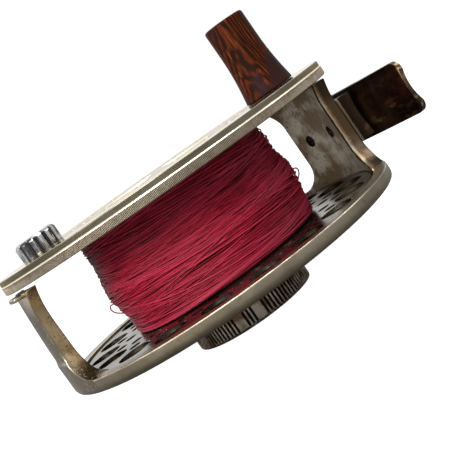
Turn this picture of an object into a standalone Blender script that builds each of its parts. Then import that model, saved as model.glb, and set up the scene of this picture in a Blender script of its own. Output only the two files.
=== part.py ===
"""A fly reel, built standing on its drag knob with the reel's axis along +Z.

Z = 0 is the outer face of the drag knob, the spool's crank face looks up,
and the reel foot sits on the +X side.  All lengths are in metres.
"""
import bmesh
import bpy
from math import cos, pi, radians, sin, sqrt
from mathutils import Matrix, Vector

MM = 0.001

# Clearances
SEAT_GAP = 0.3 * MM
RUN_GAP = 0.3 * MM
CUT_OVERRUN = 1.0 * MM
WELD_DISTANCE = 0.001 * MM

# Facets on round pieces
LARGE_SIDES = 40
MEDIUM_SIDES = 32
SMALL_SIDES = 24
HIDDEN_SIDES = 16
HOLE_SIDES = 10
DRILL_SIDES = 6
HEXAGON_SIDES = 6
FILLET_STEPS = 3
DOME_STEPS = 6
FLARE_STEPS = 6

# Drag knob and its thrust washer
KNOB_RADIUS = 15.8 * MM
KNOB_THICKNESS = 7.0 * MM
KNOB_FLOOR = 2.0 * MM
KNOB_EDGE_BEVEL = 0.8 * MM
KNOB_SLOT_WIDTH = 1.3 * MM
KNOB_SLOT_DEPTH = 1.1 * MM
KNOB_SLOT_GROUPS = 12
KNOB_SLOTS_A_GROUP = 3
WASHER_RADIUS = 9.0 * MM
WASHER_THICKNESS = 1.5 * MM

# Draw rod that the knob pulls
ROD_RADIUS = 1.8 * MM
ROD_HOLE_RADIUS = ROD_RADIUS + RUN_GAP
ROD_HEAD_RADIUS = 4.0 * MM
ROD_HEAD_THICKNESS = 0.7 * MM
ROD_HEAD_CLEARANCE = 0.5 * MM
DRAG_TRAVEL = 0.5 * MM

# Frame: back plate, rim and two posts
RIM_RADIUS = 45.5 * MM
RIM_HEIGHT = 3.6 * MM
RIM_WALL = 3.3 * MM
RIM_ROUND = 1.6 * MM
PLATE_THICKNESS = 1.5 * MM
POST_INSET = 0.3 * MM
POST_THICKNESS = 3.6 * MM
POST_TOP_GAP = 1.0 * MM
POST_ROOT = 0.6 * MM
FOOT_POST_HALF_WIDTH = 11.5 * MM
FOOT_POST_TOP_FLARE = 3.6 * MM
FOOT_POST_TOP_RISE = 6.0 * MM
FOOT_POST_BASE_FLARE = 8.0 * MM
FOOT_POST_BASE_RISE = 6.5 * MM
SMALL_POST_TURN = radians(176.4)
SMALL_POST_HALF_WIDTH = 5.8 * MM
SMALL_POST_TOP_FLARE = 3.8 * MM
SMALL_POST_TOP_RISE = 9.0 * MM
SMALL_POST_BASE_FLARE = 8.5 * MM
SMALL_POST_BASE_RISE = 8.0 * MM
LIP_REACH = 0.8 * MM
LIP_HEIGHT = 1.0 * MM
LIP_HALF_WIDTH = 4.4 * MM
LIP_TOP_GAP = 0.1 * MM

# Spool: perforated inner flange, drum and crank face
FLANGE_RUN_GAP = 0.6 * MM
FLANGE_POST_GAP = 0.6 * MM
FLANGE_THICKNESS = 1.0 * MM
FLANGE_HOLE_PITCH = 12.36 * MM
FLANGE_BIG_HOLE_RADIUS = 4.1 * MM
FLANGE_EDGE_LAND = 1.5 * MM
FLANGE_SMALL_HOLE_RADIUS = 1.5 * MM
FLANGE_RING_STEP = 5.8 * MM
LINE_WIDTH = 27.1 * MM
DRUM_WALL = 1.5 * MM
DRUM_FOOT_WIDTH = 2.8 * MM
DRUM_FOOT_HEIGHT = 1.6 * MM
DRUM_SHOULDER_WIDTH = 4.5 * MM
DRUM_SHOULDER_THICKNESS = 1.5 * MM
HUB_WALL = 2.0 * MM
DRUM_WEB_THICKNESS = 1.5 * MM
FACE_THICKNESS = 1.9 * MM
SPOOL_RIM_DEPTH = 3.6 * MM
SPOOL_RIM_WALL = 1.8 * MM
SPOOL_RIM_ROUND = 1.3 * MM
KNURL_BAND_HEIGHT = 2.1 * MM
KNURL_BAND_STEP = 0.15 * MM
DISH_DEPTH = 2.0 * MM
DISH_FLOOR = 1.4 * MM
DISH_SLOPE = 2.0 * MM
FACE_HOLES = 16
FACE_HOLE_RADIUS = 1.5 * MM
FACE_RING_STEP = 8.8 * MM

# Spindle, bushes and click
SPINDLE_RADIUS = 4.5 * MM
SPINDLE_HEX_STEP = 0.3 * MM
SPINDLE_FLANGE_WIDTH = 3.7 * MM
SPINDLE_FLANGE_THICKNESS = 1.5 * MM
BUSH_WALL = 1.2 * MM
BUSH_HEIGHT = 4.0 * MM
BUSH_INSET = 0.5 * MM
GEAR_CLEARANCE = 0.8 * MM
GEAR_THICKNESS = 1.5 * MM
GEAR_RIM = 1.8 * MM
GEAR_TOOTH_DEPTH = 0.9 * MM
GEAR_TEETH = 24
PAWL_BOSS_RADIUS = 1.9 * MM
PAWL_REACH = 2.4 * MM
PAWL_ROOM = 0.6 * MM
PAWL_PIN_RADIUS = 0.9 * MM
PAWL_PIN_COLLAR_RADIUS = 1.7 * MM
PAWL_PIN_HEAD_THICKNESS = 0.5 * MM
PAWL_TIP_HALF_WIDTH = 0.35 * MM
PAWL_SHOULDER_TURN = radians(-30)
PAWL_BOSS_STEPS = 16
SPRING_WIRE_RADIUS = 0.25 * MM
SPRING_POST_RADIUS = 0.8 * MM
SPRING_POST_TURN = radians(30)
SPRING_PAWL_GAP = 0.9 * MM
SPRING_BEND = radians(270)
SPRING_BEND_STEPS = 9

# Drag stack in the top of the drum
STACK_EDGE_GAP = 0.5 * MM
STACK_BORE_GAP = 1.1 * MM
DISC_THICKNESS = 1.2 * MM
DRAG_OPEN_GAP = 0.6 * MM
PAD_THICKNESS = 1.5 * MM
PRESSURE_PLATE_THICKNESS = 1.5 * MM
DRAG_SPRING_RADIUS = 5.4 * MM
DRAG_SPRING_HEIGHT = 0.8 * MM
DRAG_SPRING_METAL = 0.4 * MM

# Centre cap of the crank face
CAP_RADIUS = 5.6 * MM
CAP_RISE = 1.9 * MM
CAP_STEM_RADIUS = 2.0 * MM
CAP_STEM_CLEARANCE = 0.2 * MM

# Handle and its counterweight
HANDLE_TURN = radians(-21.0)
HANDLE_INSET = 12.7 * MM
GRIP_HEIGHT = 19.6 * MM
GRIP_TOP_RADIUS = 5.2 * MM
GRIP_BASE_RADIUS = 6.45 * MM
GRIP_EDGE_ROUND = 0.7 * MM
GRIP_FLARE_HEIGHT = 13.0 * MM
GRIP_SINK_RADIUS = 3.2 * MM
GRIP_SINK_DEPTH = 1.6 * MM
AXLE_RADIUS = 1.8 * MM
AXLE_HEAD_RADIUS = 2.8 * MM
AXLE_HEAD_THICKNESS = 0.9 * MM
COUNTERWEIGHT_RADIUS = 5.5 * MM
COUNTERWEIGHT_HEIGHT = 4.1 * MM
COUNTERWEIGHT_BEVEL = 0.7 * MM
COUNTERWEIGHT_FLUTES = 14
FLUTE_RADIUS = 0.75 * MM
FLUTE_DEPTH = 0.5 * MM
FLUTE_SIDES = 8
COUNTERWEIGHT_SCREW_RADIUS = 1.3 * MM
COUNTERWEIGHT_TOP_WALL = 1.2 * MM

# Reel foot
FOOT_WIDTH = 13.8 * MM
FOOT_TIP_WIDTH = 13.4 * MM
FOOT_LONG_WING = 34.0 * MM
FOOT_SHORT_WING = 27.0 * MM
FOOT_THICKNESS = 2.4 * MM
FOOT_TIP_THICKNESS_SHARE = 0.45
FOOT_CENTRE_HEIGHT = 24.4 * MM
FOOT_STANDOFF = 0.8 * MM
FOOT_TIP_RISE = 2.0 * MM
FOOT_TROUGH_SAG = 0.8 * MM
FOOT_CORNER = 2.4 * MM
FOOT_COLUMNS = 9
FOOT_ROWS = 4
SADDLE_HALF_LENGTH = 13.5 * MM
SADDLE_MARGIN = 0.9 * MM
SADDLE_BITE = 0.7 * MM
FOOT_SCREW_TURN = radians(7.8)
FOOT_SCREW_HEAD_RADIUS = 1.3 * MM
FOOT_SCREW_HEAD_THICKNESS = 1.0 * MM
FOOT_SCREW_RADIUS = 0.65 * MM
FOOT_SCREW_SUNK = 0.3 * MM

# Small fasteners
SMALL_SCREW_RADIUS = 0.6 * MM
SMALL_SCREW_HEAD_RADIUS = 1.1 * MM
SMALL_SCREW_HEAD_THICKNESS = 0.6 * MM
SPINDLE_SCREWS = 3
SPINDLE_SCREW_STEP = 2.0 * MM
FACE_SCREWS = 4
FACE_SCREW_STEP = 1.1 * MM
FLANGE_RIVETS = 4
RIVET_RADIUS = 0.6 * MM

# Line on the spool
LINE_RADIUS_MIDDLE = 26.7 * MM
LINE_RADIUS_END = 25.0 * MM
LINE_END_MARGIN = 0.4 * MM
WINDING_TUBE_RADIUS = 0.5 * MM
WINDING_LOOPS = 16
WINDING_POINTS_A_LOOP = 24
LINE_CORE_STEPS = 6

# Radii and places, worked out from the sizes above
SPINDLE_HEX_RADIUS = SPINDLE_RADIUS - SPINDLE_HEX_STEP
SPINDLE_FLANGE_RADIUS = SPINDLE_RADIUS + SPINDLE_FLANGE_WIDTH
SPINDLE_SCREW_RING = SPINDLE_RADIUS + SPINDLE_SCREW_STEP
HUB_BORE_RADIUS = SPINDLE_RADIUS + RUN_GAP + BUSH_WALL + SEAT_GAP
GEAR_ROOT_RADIUS = HUB_BORE_RADIUS + GEAR_RIM
GEAR_TIP_RADIUS = GEAR_ROOT_RADIUS + GEAR_TOOTH_DEPTH
PAWL_PIVOT_RADIUS = GEAR_TIP_RADIUS + RUN_GAP + PAWL_REACH
DRUM_FOOT_RADIUS = PAWL_PIVOT_RADIUS + PAWL_BOSS_RADIUS + PAWL_ROOM
DRUM_RADIUS = DRUM_FOOT_RADIUS + DRUM_FOOT_WIDTH
DRUM_BORE_RADIUS = DRUM_RADIUS - DRUM_WALL
DRUM_SHOULDER_RADIUS = DRUM_RADIUS - DRUM_SHOULDER_WIDTH
FACE_SCREW_RING = DRUM_SHOULDER_RADIUS + FACE_SCREW_STEP
STACK_RADIUS = DRUM_SHOULDER_RADIUS - STACK_EDGE_GAP
STACK_BORE_RADIUS = SPINDLE_RADIUS + STACK_BORE_GAP
POST_OUTER_RADIUS = RIM_RADIUS - POST_INSET
POST_INNER_RADIUS = POST_OUTER_RADIUS - POST_THICKNESS
FLANGE_RADIUS = POST_INNER_RADIUS - FLANGE_POST_GAP
FLANGE_BIG_RING_RADIUS = FLANGE_RADIUS - FLANGE_EDGE_LAND - FLANGE_BIG_HOLE_RADIUS
FLANGE_BIG_HOLES = round(2 * pi * FLANGE_BIG_RING_RADIUS / FLANGE_HOLE_PITCH)
FLANGE_SMALL_RING_RADIUS = FLANGE_BIG_RING_RADIUS - FLANGE_RING_STEP
HANDLE_ARM = RIM_RADIUS - HANDLE_INSET
FACE_HOLE_RING_RADIUS = HANDLE_ARM - FACE_RING_STEP
FOOT_INNER = POST_OUTER_RADIUS + SEAT_GAP + FOOT_STANDOFF

# Heights above the floor, worked out from the sizes above
WASHER_LOW = KNOB_THICKNESS + SEAT_GAP
WASHER_HIGH = WASHER_LOW + WASHER_THICKNESS
PLATE_LOW = WASHER_HIGH + SEAT_GAP
PLATE_HIGH = PLATE_LOW + PLATE_THICKNESS
RIM_HIGH = PLATE_LOW + RIM_HEIGHT
FLANGE_LOW = PLATE_HIGH + FLANGE_RUN_GAP
FLANGE_HIGH = FLANGE_LOW + FLANGE_THICKNESS
FACE_UNDER = FLANGE_HIGH + LINE_WIDTH
FACE_HIGH = FACE_UNDER + FACE_THICKNESS
SPOOL_RIM_LOW = FACE_HIGH - SPOOL_RIM_DEPTH
POST_TOP = SPOOL_RIM_LOW - POST_TOP_GAP
DISH_HIGH = FACE_HIGH - DISH_DEPTH
DISH_LOW = DISH_HIGH - DISH_FLOOR
DRUM_LOW = FLANGE_HIGH + SEAT_GAP
DRUM_HIGH = FACE_UNDER - SEAT_GAP
SHOULDER_HIGH = DISH_LOW - SEAT_GAP
SHOULDER_LOW = SHOULDER_HIGH - DRUM_SHOULDER_THICKNESS
ROD_HEAD_HIGH = DISH_LOW - ROD_HEAD_CLEARANCE
ROD_HEAD_LOW = ROD_HEAD_HIGH - ROD_HEAD_THICKNESS
DRAG_SPRING_HIGH = ROD_HEAD_LOW - SEAT_GAP
DRAG_SPRING_LOW = DRAG_SPRING_HIGH - DRAG_SPRING_HEIGHT
PRESSURE_HIGH = DRAG_SPRING_LOW - SEAT_GAP
PRESSURE_LOW = PRESSURE_HIGH - PRESSURE_PLATE_THICKNESS
PAD_HIGH = PRESSURE_LOW - SEAT_GAP
PAD_LOW = PAD_HIGH - PAD_THICKNESS
DISC_HIGH = PAD_LOW - DRAG_OPEN_GAP
DISC_LOW = DISC_HIGH - DISC_THICKNESS
WEB_HIGH = DISC_LOW - SEAT_GAP
WEB_LOW = WEB_HIGH - DRUM_WEB_THICKNESS
SPINDLE_LOW = PLATE_HIGH + SEAT_GAP
SPINDLE_FLANGE_HIGH = SPINDLE_LOW + SPINDLE_FLANGE_THICKNESS
GEAR_LOW = SPINDLE_FLANGE_HIGH + GEAR_CLEARANCE
GEAR_HIGH = GEAR_LOW + GEAR_THICKNESS
HUB_LOW = GEAR_HIGH + SEAT_GAP
GRIP_LOW = FACE_HIGH + SEAT_GAP

# Finishes: base colour, metallic value and roughness
FINISHES = {
    "frame_alloy": ((0.33, 0.29, 0.22), 1.0, 0.32),
    "spool_alloy": ((0.42, 0.40, 0.36), 1.0, 0.28),
    "foot_bronze": ((0.10, 0.07, 0.05), 1.0, 0.35),
    "steel": ((0.45, 0.45, 0.46), 1.0, 0.25),
    "dark_steel": ((0.08, 0.07, 0.06), 1.0, 0.45),
    "brass": ((0.62, 0.45, 0.20), 1.0, 0.30),
    "chrome": ((0.80, 0.80, 0.80), 1.0, 0.08),
    "rosewood": ((0.16, 0.05, 0.02), 0.0, 0.35),
    "cork": ((0.45, 0.30, 0.17), 0.0, 0.85),
    "red_line": ((0.35, 0.01, 0.03), 0.0, 0.45),
}


def clear_scene():
    """Start from an empty scene."""
    for old in list(bpy.data.objects):
        bpy.data.objects.remove(old, do_unlink=True)


def new_collection(name):
    """Make a collection under the scene's own."""
    group = bpy.data.collections.new(name)
    bpy.context.scene.collection.children.link(group)
    return group


def make_finishes():
    """Make one Principled material for each finish."""
    made = {}
    for name, (colour, metallic, roughness) in FINISHES.items():
        finish = bpy.data.materials.new(name)
        finish.use_nodes = True
        shader = finish.node_tree.nodes["Principled BSDF"]
        shader.inputs["Base Color"].default_value = (*colour, 1.0)
        shader.inputs["Metallic"].default_value = metallic
        shader.inputs["Roughness"].default_value = roughness
        finish.diffuse_color = (*colour, 1.0)
        made[name] = finish
    return made


clear_scene()
PIECES = new_collection("fly_reel")
CUTTERS = new_collection("cutters")
MATERIALS = make_finishes()


def add_object(name, data, finish, location=(0, 0, 0)):
    """Link an object to the reel, or to the cutters when it has no finish."""
    piece = bpy.data.objects.new(name, data)
    piece.location = location
    if finish is None:
        CUTTERS.objects.link(piece)
        piece.hide_render = True
        piece.display_type = "WIRE"
    else:
        PIECES.objects.link(piece)
        piece.data.materials.append(MATERIALS[finish])
    return piece


def bake(piece):
    """Turn an object's modifiers or curve into a plain welded mesh under the same name."""
    bpy.context.view_layer.update()
    evaluated = piece.evaluated_get(bpy.context.evaluated_depsgraph_get())
    mesh = bpy.data.meshes.new_from_object(evaluated)
    work = bmesh.new()
    work.from_mesh(mesh)
    bmesh.ops.remove_doubles(work, verts=work.verts, dist=WELD_DISTANCE)
    bmesh.ops.dissolve_degenerate(work, edges=work.edges, dist=WELD_DISTANCE)
    work.to_mesh(mesh)
    work.free()
    name = piece.name
    group = piece.users_collection[0]
    hidden = piece.hide_render
    display = piece.display_type
    placed = piece.matrix_world.copy()
    bpy.data.objects.remove(piece, do_unlink=True)
    baked = bpy.data.objects.new(name, mesh)
    baked.matrix_world = placed
    baked.hide_render = hidden
    baked.display_type = display
    group.objects.link(baked)
    return baked


def smooth(piece):
    """Shade a round piece smooth but for its sharp edges."""
    piece.data.shade_smooth()
    piece.data.set_sharp_from_angle(angle=radians(35))
    return piece


def turned(name, outline, finish, sides=SMALL_SIDES, location=(0, 0, 0)):
    """Turn an outline of (radius, height) points about Z; it runs down its outer side."""
    ring = min(radius for radius, height in outline) > 0
    mesh = bpy.data.meshes.new(name)
    points = [(radius, 0, height) for radius, height in outline]
    edges = [(i, i + 1) for i in range(len(points) - 1)]
    if ring:
        edges.append((len(points) - 1, 0))
    mesh.from_pydata(points, edges, [])
    piece = add_object(name, mesh, finish, location)
    screw = piece.modifiers.new("Turn", "SCREW")
    screw.axis = "Z"
    screw.angle = 2 * pi
    screw.steps = sides
    screw.render_steps = sides
    screw.use_merge_vertices = True
    screw.merge_threshold = WELD_DISTANCE
    return smooth(bake(piece))


def ring_outline(inner, outer, low, high):
    """The outline of a plain washer or tube."""
    return [(inner, high), (outer, high), (outer, low), (inner, low)]


def rod_outline(radius, low, high):
    """The outline of a plain solid rod."""
    return [(0, high), (radius, high), (radius, low), (0, low)]


def extruded(name, outlines, low, high, finish):
    """Extrude closed flat outlines, the inner ones as holes, from one height to another."""
    curve = bpy.data.curves.new(name, "CURVE")
    curve.dimensions = "2D"
    curve.fill_mode = "BOTH"
    curve.extrude = (high - low) / 2
    for outline in outlines:
        spline = curve.splines.new("POLY")
        spline.points.add(len(outline) - 1)
        for point, (x, y) in zip(spline.points, outline):
            point.co = (x, y, 0, 1)
        spline.use_cyclic_u = True
    piece = add_object(name, curve, finish, (0, 0, (high + low) / 2))
    baked = bake(piece)
    baked.data.transform(baked.matrix_world)
    baked.matrix_world = Matrix.Identity(4)
    return baked


def wire(name, points, radius, finish, bevel_resolution=1):
    """Sweep a round wire along the points."""
    curve = bpy.data.curves.new(name, "CURVE")
    curve.dimensions = "3D"
    curve.bevel_depth = radius
    curve.bevel_resolution = bevel_resolution
    curve.use_fill_caps = True
    spline = curve.splines.new("POLY")
    spline.points.add(len(points) - 1)
    for point, place in zip(spline.points, points):
        point.co = (*place, 1)
    return smooth(bake(add_object(name, curve, finish)))


def cylinders(name, places, radius, low, high, sides=HOLE_SIDES):
    """Make one cutter that holds an upright cylinder at each (x, y) place."""
    work = bmesh.new()
    for x, y in places:
        bmesh.ops.create_cone(
            work, cap_ends=True, segments=sides, radius1=radius, radius2=radius, depth=high - low,
            matrix=Matrix.Translation((x, y, (low + high) / 2)))
    mesh = bpy.data.meshes.new(name)
    work.to_mesh(mesh)
    work.free()
    return add_object(name, mesh, None)


def block(name, low_corner, high_corner, finish=None):
    """Make a box between two corners."""
    low = Vector(low_corner)
    high = Vector(high_corner)
    work = bmesh.new()
    scale = Matrix.Diagonal((*(high - low), 1))
    bmesh.ops.create_cube(work, size=1, matrix=Matrix.Translation((low + high) / 2) @ scale)
    mesh = bpy.data.meshes.new(name)
    work.to_mesh(mesh)
    work.free()
    return add_object(name, mesh, finish)


def combine(piece, other, operation):
    """Add a Boolean against another object and keep its result."""
    boolean = piece.modifiers.new(operation.title(), "BOOLEAN")
    boolean.operation = operation
    boolean.solver = "EXACT"
    boolean.object = other
    return bake(piece)


def cut(piece, *cutters):
    """Take cutters out of a piece."""
    for cutter in cutters:
        piece = combine(piece, cutter, "DIFFERENCE")
    return smooth(piece)


def gathered(name, pattern, places):
    """Gather placed copies of one cutter into one."""
    work = bmesh.new()
    for place in places:
        mesh = pattern.data.copy()
        mesh.transform(place)
        work.from_mesh(mesh)
        bpy.data.meshes.remove(mesh)
    joined = bpy.data.meshes.new(name)
    work.to_mesh(joined)
    work.free()
    return add_object(name, joined, None)


def copies(name, pattern, places, finish):
    """Place numbered copies of one fastener, which share its mesh."""
    mesh = pattern.data.copy()
    mesh.materials.append(MATERIALS[finish])
    for i, place in enumerate(places):
        piece = bpy.data.objects.new(f"{name}_{i + 1}", mesh)
        piece.matrix_world = place
        PIECES.objects.link(piece)


def around(radius, count, start=0.0):
    """Places spaced evenly round the axis, as (x, y)."""
    turns = [start + 2 * pi * i / count for i in range(count)]
    return [(radius * cos(turn), radius * sin(turn)) for turn in turns]


def at(place, height=0):
    """The matrix that moves a solid to an (x, y) place and a height."""
    return Matrix.Translation((place[0], place[1], height))


def countersunk_outline(head_radius, head_thickness, shank_radius, length):
    """A countersunk screw whose flat head ends at height zero and whose shank points down."""
    return [(0, 0), (head_radius, 0), (shank_radius, -head_thickness), (shank_radius, -length), (0, -length)]


def handle_place(turn):
    """The (x, y) place at the handle's distance from the axis."""
    return (HANDLE_ARM * cos(turn), HANDLE_ARM * sin(turn))


def post_outline(half_width, top_flare, top_rise, base_flare, base_rise):
    """Half outline of a waisted post as (half width, height), flared at both ends."""
    low = PLATE_HIGH - POST_ROOT
    fillet_low = RIM_HIGH - SEAT_GAP
    points = [(half_width + base_flare, low)]
    for step in range(FILLET_STEPS + 1):
        turn = pi / 2 * step / FILLET_STEPS
        points.append((half_width + base_flare * (1 - sin(turn)), fillet_low + base_rise * (1 - cos(turn))))
    for step in range(FILLET_STEPS + 1):
        share = step / FILLET_STEPS
        points.append((half_width + top_flare * share ** 2, POST_TOP - top_rise * (1 - share)))
    return points


def post(name, half_outline, turn, radial_share):
    """Cut a waisted post out of a tube; a radial share of 1 points its sides at the axis."""
    tube = ring_outline(POST_INNER_RADIUS, POST_OUTER_RADIUS, PLATE_HIGH - POST_ROOT, POST_TOP)
    piece = turned(name, tube, None, LARGE_SIDES)
    outline = [(width, height) for width, height in half_outline]
    outline += [(-width, height) for width, height in reversed(half_outline)]
    window = extruded(name + "_window", [outline], POST_INNER_RADIUS / 2,
                      POST_OUTER_RADIUS + POST_THICKNESS, None)
    to_side = Matrix(((0, 0, 1, 0), (1, 0, 0, 0), (0, 1, 0, 0), (0, 0, 0, 1)))
    window.data.transform(to_side)
    for corner in window.data.vertices:
        corner.co.y *= 1 + radial_share * (corner.co.x / POST_INNER_RADIUS - 1)
    window.data.transform(Matrix.Rotation(turn, 4, "Z"))
    return combine(piece, window, "INTERSECT")


def make_frame_cage():
    """Back plate, rounded rim and the two posts, turned and milled from one bar."""
    rim_inner = RIM_RADIUS - RIM_WALL
    outline = [(ROD_HOLE_RADIUS, PLATE_HIGH), (rim_inner, PLATE_HIGH), (rim_inner, RIM_HIGH),
               (RIM_RADIUS, RIM_HIGH), (RIM_RADIUS, PLATE_LOW + RIM_ROUND)]
    for step in range(1, FILLET_STEPS + 1):
        turn = pi / 2 * step / FILLET_STEPS
        outline.append((RIM_RADIUS - RIM_ROUND * (1 - cos(turn)), PLATE_LOW + RIM_ROUND * (1 - sin(turn))))
    outline.append((ROD_HOLE_RADIUS, PLATE_LOW))
    cage = turned("frame_cage", outline, "frame_alloy", LARGE_SIDES)
    foot_post = post("foot_post_blank", post_outline(
        FOOT_POST_HALF_WIDTH, FOOT_POST_TOP_FLARE, FOOT_POST_TOP_RISE,
        FOOT_POST_BASE_FLARE, FOOT_POST_BASE_RISE), 0, 1)
    small_post = post("small_post_blank", post_outline(
        SMALL_POST_HALF_WIDTH, SMALL_POST_TOP_FLARE, SMALL_POST_TOP_RISE,
        SMALL_POST_BASE_FLARE, SMALL_POST_BASE_RISE), SMALL_POST_TURN, 0)
    lip_high = POST_TOP - LIP_TOP_GAP
    lip_root = POST_OUTER_RADIUS - POST_THICKNESS / 2
    lip = block("post_lip_blank", (lip_root, -LIP_HALF_WIDTH, lip_high - LIP_HEIGHT),
                (POST_OUTER_RADIUS + LIP_REACH, LIP_HALF_WIDTH, lip_high))
    lip.data.transform(Matrix.Rotation(SMALL_POST_TURN, 4, "Z"))
    small_post = combine(small_post, lip, "UNION")
    cage = combine(cage, foot_post, "UNION")
    cage = combine(cage, small_post, "UNION")
    screw_holes = cylinders(
        "spindle_screw_holes", around(SPINDLE_SCREW_RING, SPINDLE_SCREWS), SMALL_SCREW_RADIUS + SEAT_GAP,
        PLATE_LOW - CUT_OVERRUN, PLATE_HIGH + CUT_OVERRUN, DRILL_SIDES)
    return cut(cage, screw_holes, foot_screw_holes())


def foot_screw_matrix(turn, radius):
    """Place a screw with its head inwards and its shank pointing away from the axis."""
    place = Matrix.Translation((radius * cos(turn), radius * sin(turn), FOOT_CENTRE_HEIGHT))
    return place @ Matrix.Rotation(turn, 4, "Z") @ Matrix.Rotation(-pi / 2, 4, "Y")


def foot_screw_holes():
    """Stepped holes through the foot post and into the saddle, grown from the screws."""
    head = FOOT_SCREW_HEAD_RADIUS + SEAT_GAP
    shank = FOOT_SCREW_RADIUS + SEAT_GAP
    step = -FOOT_SCREW_HEAD_THICKNESS - SEAT_GAP
    length = POST_THICKNESS + FOOT_STANDOFF + SEAT_GAP
    outline = [(0, CUT_OVERRUN), (head, CUT_OVERRUN), (head, step), (shank, step),
               (shank, -length), (0, -length)]
    pattern = turned("foot_screw_hole", outline, None, HOLE_SIDES)
    radius = POST_INNER_RADIUS + FOOT_SCREW_SUNK
    places = [foot_screw_matrix(turn, radius) for turn in (-FOOT_SCREW_TURN, FOOT_SCREW_TURN)]
    return gathered("foot_screw_holes", pattern, places)


def make_foot_screws():
    """Two cheese-head screws, put in from inside the post, that hold the foot."""
    head = FOOT_SCREW_HEAD_RADIUS
    shank = FOOT_SCREW_RADIUS
    step = -FOOT_SCREW_HEAD_THICKNESS
    length = POST_THICKNESS + FOOT_STANDOFF
    outline = [(0, 0), (head, 0), (head, step), (shank, step), (shank, -length), (0, -length)]
    pattern = turned("foot_screw_pattern", outline, None, HOLE_SIDES)
    radius = POST_INNER_RADIUS + FOOT_SCREW_SUNK
    places = [foot_screw_matrix(turn, radius) for turn in (-FOOT_SCREW_TURN, FOOT_SCREW_TURN)]
    copies("foot_screw", pattern, places, "dark_steel")


def foot_half_width(along_share, wing):
    """Half width of the foot at a share of a wing's length, narrowed and rounded at the tip."""
    width = FOOT_WIDTH / 2 + (FOOT_TIP_WIDTH - FOOT_WIDTH) / 2 * along_share
    past = along_share * wing - (wing - FOOT_CORNER)
    if past > 0:
        width -= FOOT_CORNER - sqrt(max(FOOT_CORNER ** 2 - past ** 2, 0))
    return width


def make_reel_foot(screw_cutter):
    """A thin trough-shaped plate on a saddle that fits the outside of the wide post."""
    work = bmesh.new()
    rows = []
    shares = [sin(pi / 2 * i / FOOT_COLUMNS) for i in range(-FOOT_COLUMNS, FOOT_COLUMNS + 1)]
    for share in shares:
        wing = FOOT_SHORT_WING if share > 0 else FOOT_LONG_WING
        half = foot_half_width(abs(share), wing)
        row = []
        for j in range(FOOT_ROWS + 1):
            across = 2 * j / FOOT_ROWS - 1
            x = FOOT_INNER + FOOT_TIP_RISE * share ** 2 + FOOT_TROUGH_SAG * across ** 2
            row.append(work.verts.new((x, share * wing, FOOT_CENTRE_HEIGHT + half * across)))
        rows.append(row)
    for near, far in zip(rows, rows[1:]):
        for j in range(FOOT_ROWS):
            work.faces.new((near[j], far[j], far[j + 1], near[j + 1]))
    mesh = bpy.data.meshes.new("reel_foot")
    work.to_mesh(mesh)
    work.free()
    foot = add_object("reel_foot", mesh, "foot_bronze")
    fullness = foot.vertex_groups.new(name="fullness")
    for point in mesh.vertices:
        wing = FOOT_SHORT_WING if point.co.y > 0 else FOOT_LONG_WING
        fullness.add([point.index], 1 - (point.co.y / wing) ** 2, "REPLACE")
    wall = foot.modifiers.new("Wall", "SOLIDIFY")
    wall.thickness = FOOT_THICKNESS
    wall.offset = 1
    wall.vertex_group = "fullness"
    wall.thickness_vertex_group = FOOT_TIP_THICKNESS_SHARE
    foot = bake(foot)
    saddle_half = FOOT_WIDTH / 2 - SADDLE_MARGIN
    saddle = turned("saddle_blank", ring_outline(
        POST_OUTER_RADIUS + SEAT_GAP, FOOT_INNER + SADDLE_BITE,
        FOOT_CENTRE_HEIGHT - saddle_half, FOOT_CENTRE_HEIGHT + saddle_half), None, LARGE_SIDES)
    window = block("saddle_window", (0, -SADDLE_HALF_LENGTH, 0),
                   (RIM_RADIUS + POST_THICKNESS + FOOT_THICKNESS, SADDLE_HALF_LENGTH, RIM_RADIUS))
    saddle = combine(saddle, window, "INTERSECT")
    foot = combine(foot, saddle, "UNION")
    return cut(foot, screw_cutter)


def make_drag_knob():
    """Thick disc with groups of slots milled across its edge, threaded on the draw rod."""
    bevel = KNOB_EDGE_BEVEL
    outline = [(0, KNOB_FLOOR), (ROD_HOLE_RADIUS, KNOB_FLOOR), (ROD_HOLE_RADIUS, KNOB_THICKNESS),
               (KNOB_RADIUS - bevel, KNOB_THICKNESS), (KNOB_RADIUS, KNOB_THICKNESS - bevel),
               (KNOB_RADIUS, bevel), (KNOB_RADIUS - bevel, 0), (0, 0)]
    knob = turned("drag_knob", outline, "frame_alloy", LARGE_SIDES)
    return cut(knob, knob_slots())


def knob_slots():
    """Box cutters for the slots, in groups with a plain land between groups."""
    work = bmesh.new()
    places = KNOB_SLOT_GROUPS * (KNOB_SLOTS_A_GROUP + 1)
    for i in range(places):
        if i % (KNOB_SLOTS_A_GROUP + 1) == KNOB_SLOTS_A_GROUP:
            continue
        turn = Matrix.Rotation(2 * pi * i / places, 4, "Z")
        middle = Matrix.Translation((KNOB_RADIUS, 0, KNOB_THICKNESS / 2))
        size = Matrix.Diagonal((2 * KNOB_SLOT_DEPTH, KNOB_SLOT_WIDTH, KNOB_THICKNESS + 2 * CUT_OVERRUN, 1))
        bmesh.ops.create_cube(work, size=1, matrix=turn @ middle @ size)
    mesh = bpy.data.meshes.new("knob_slots")
    work.to_mesh(mesh)
    work.free()
    return add_object("knob_slots", mesh, None)


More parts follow.
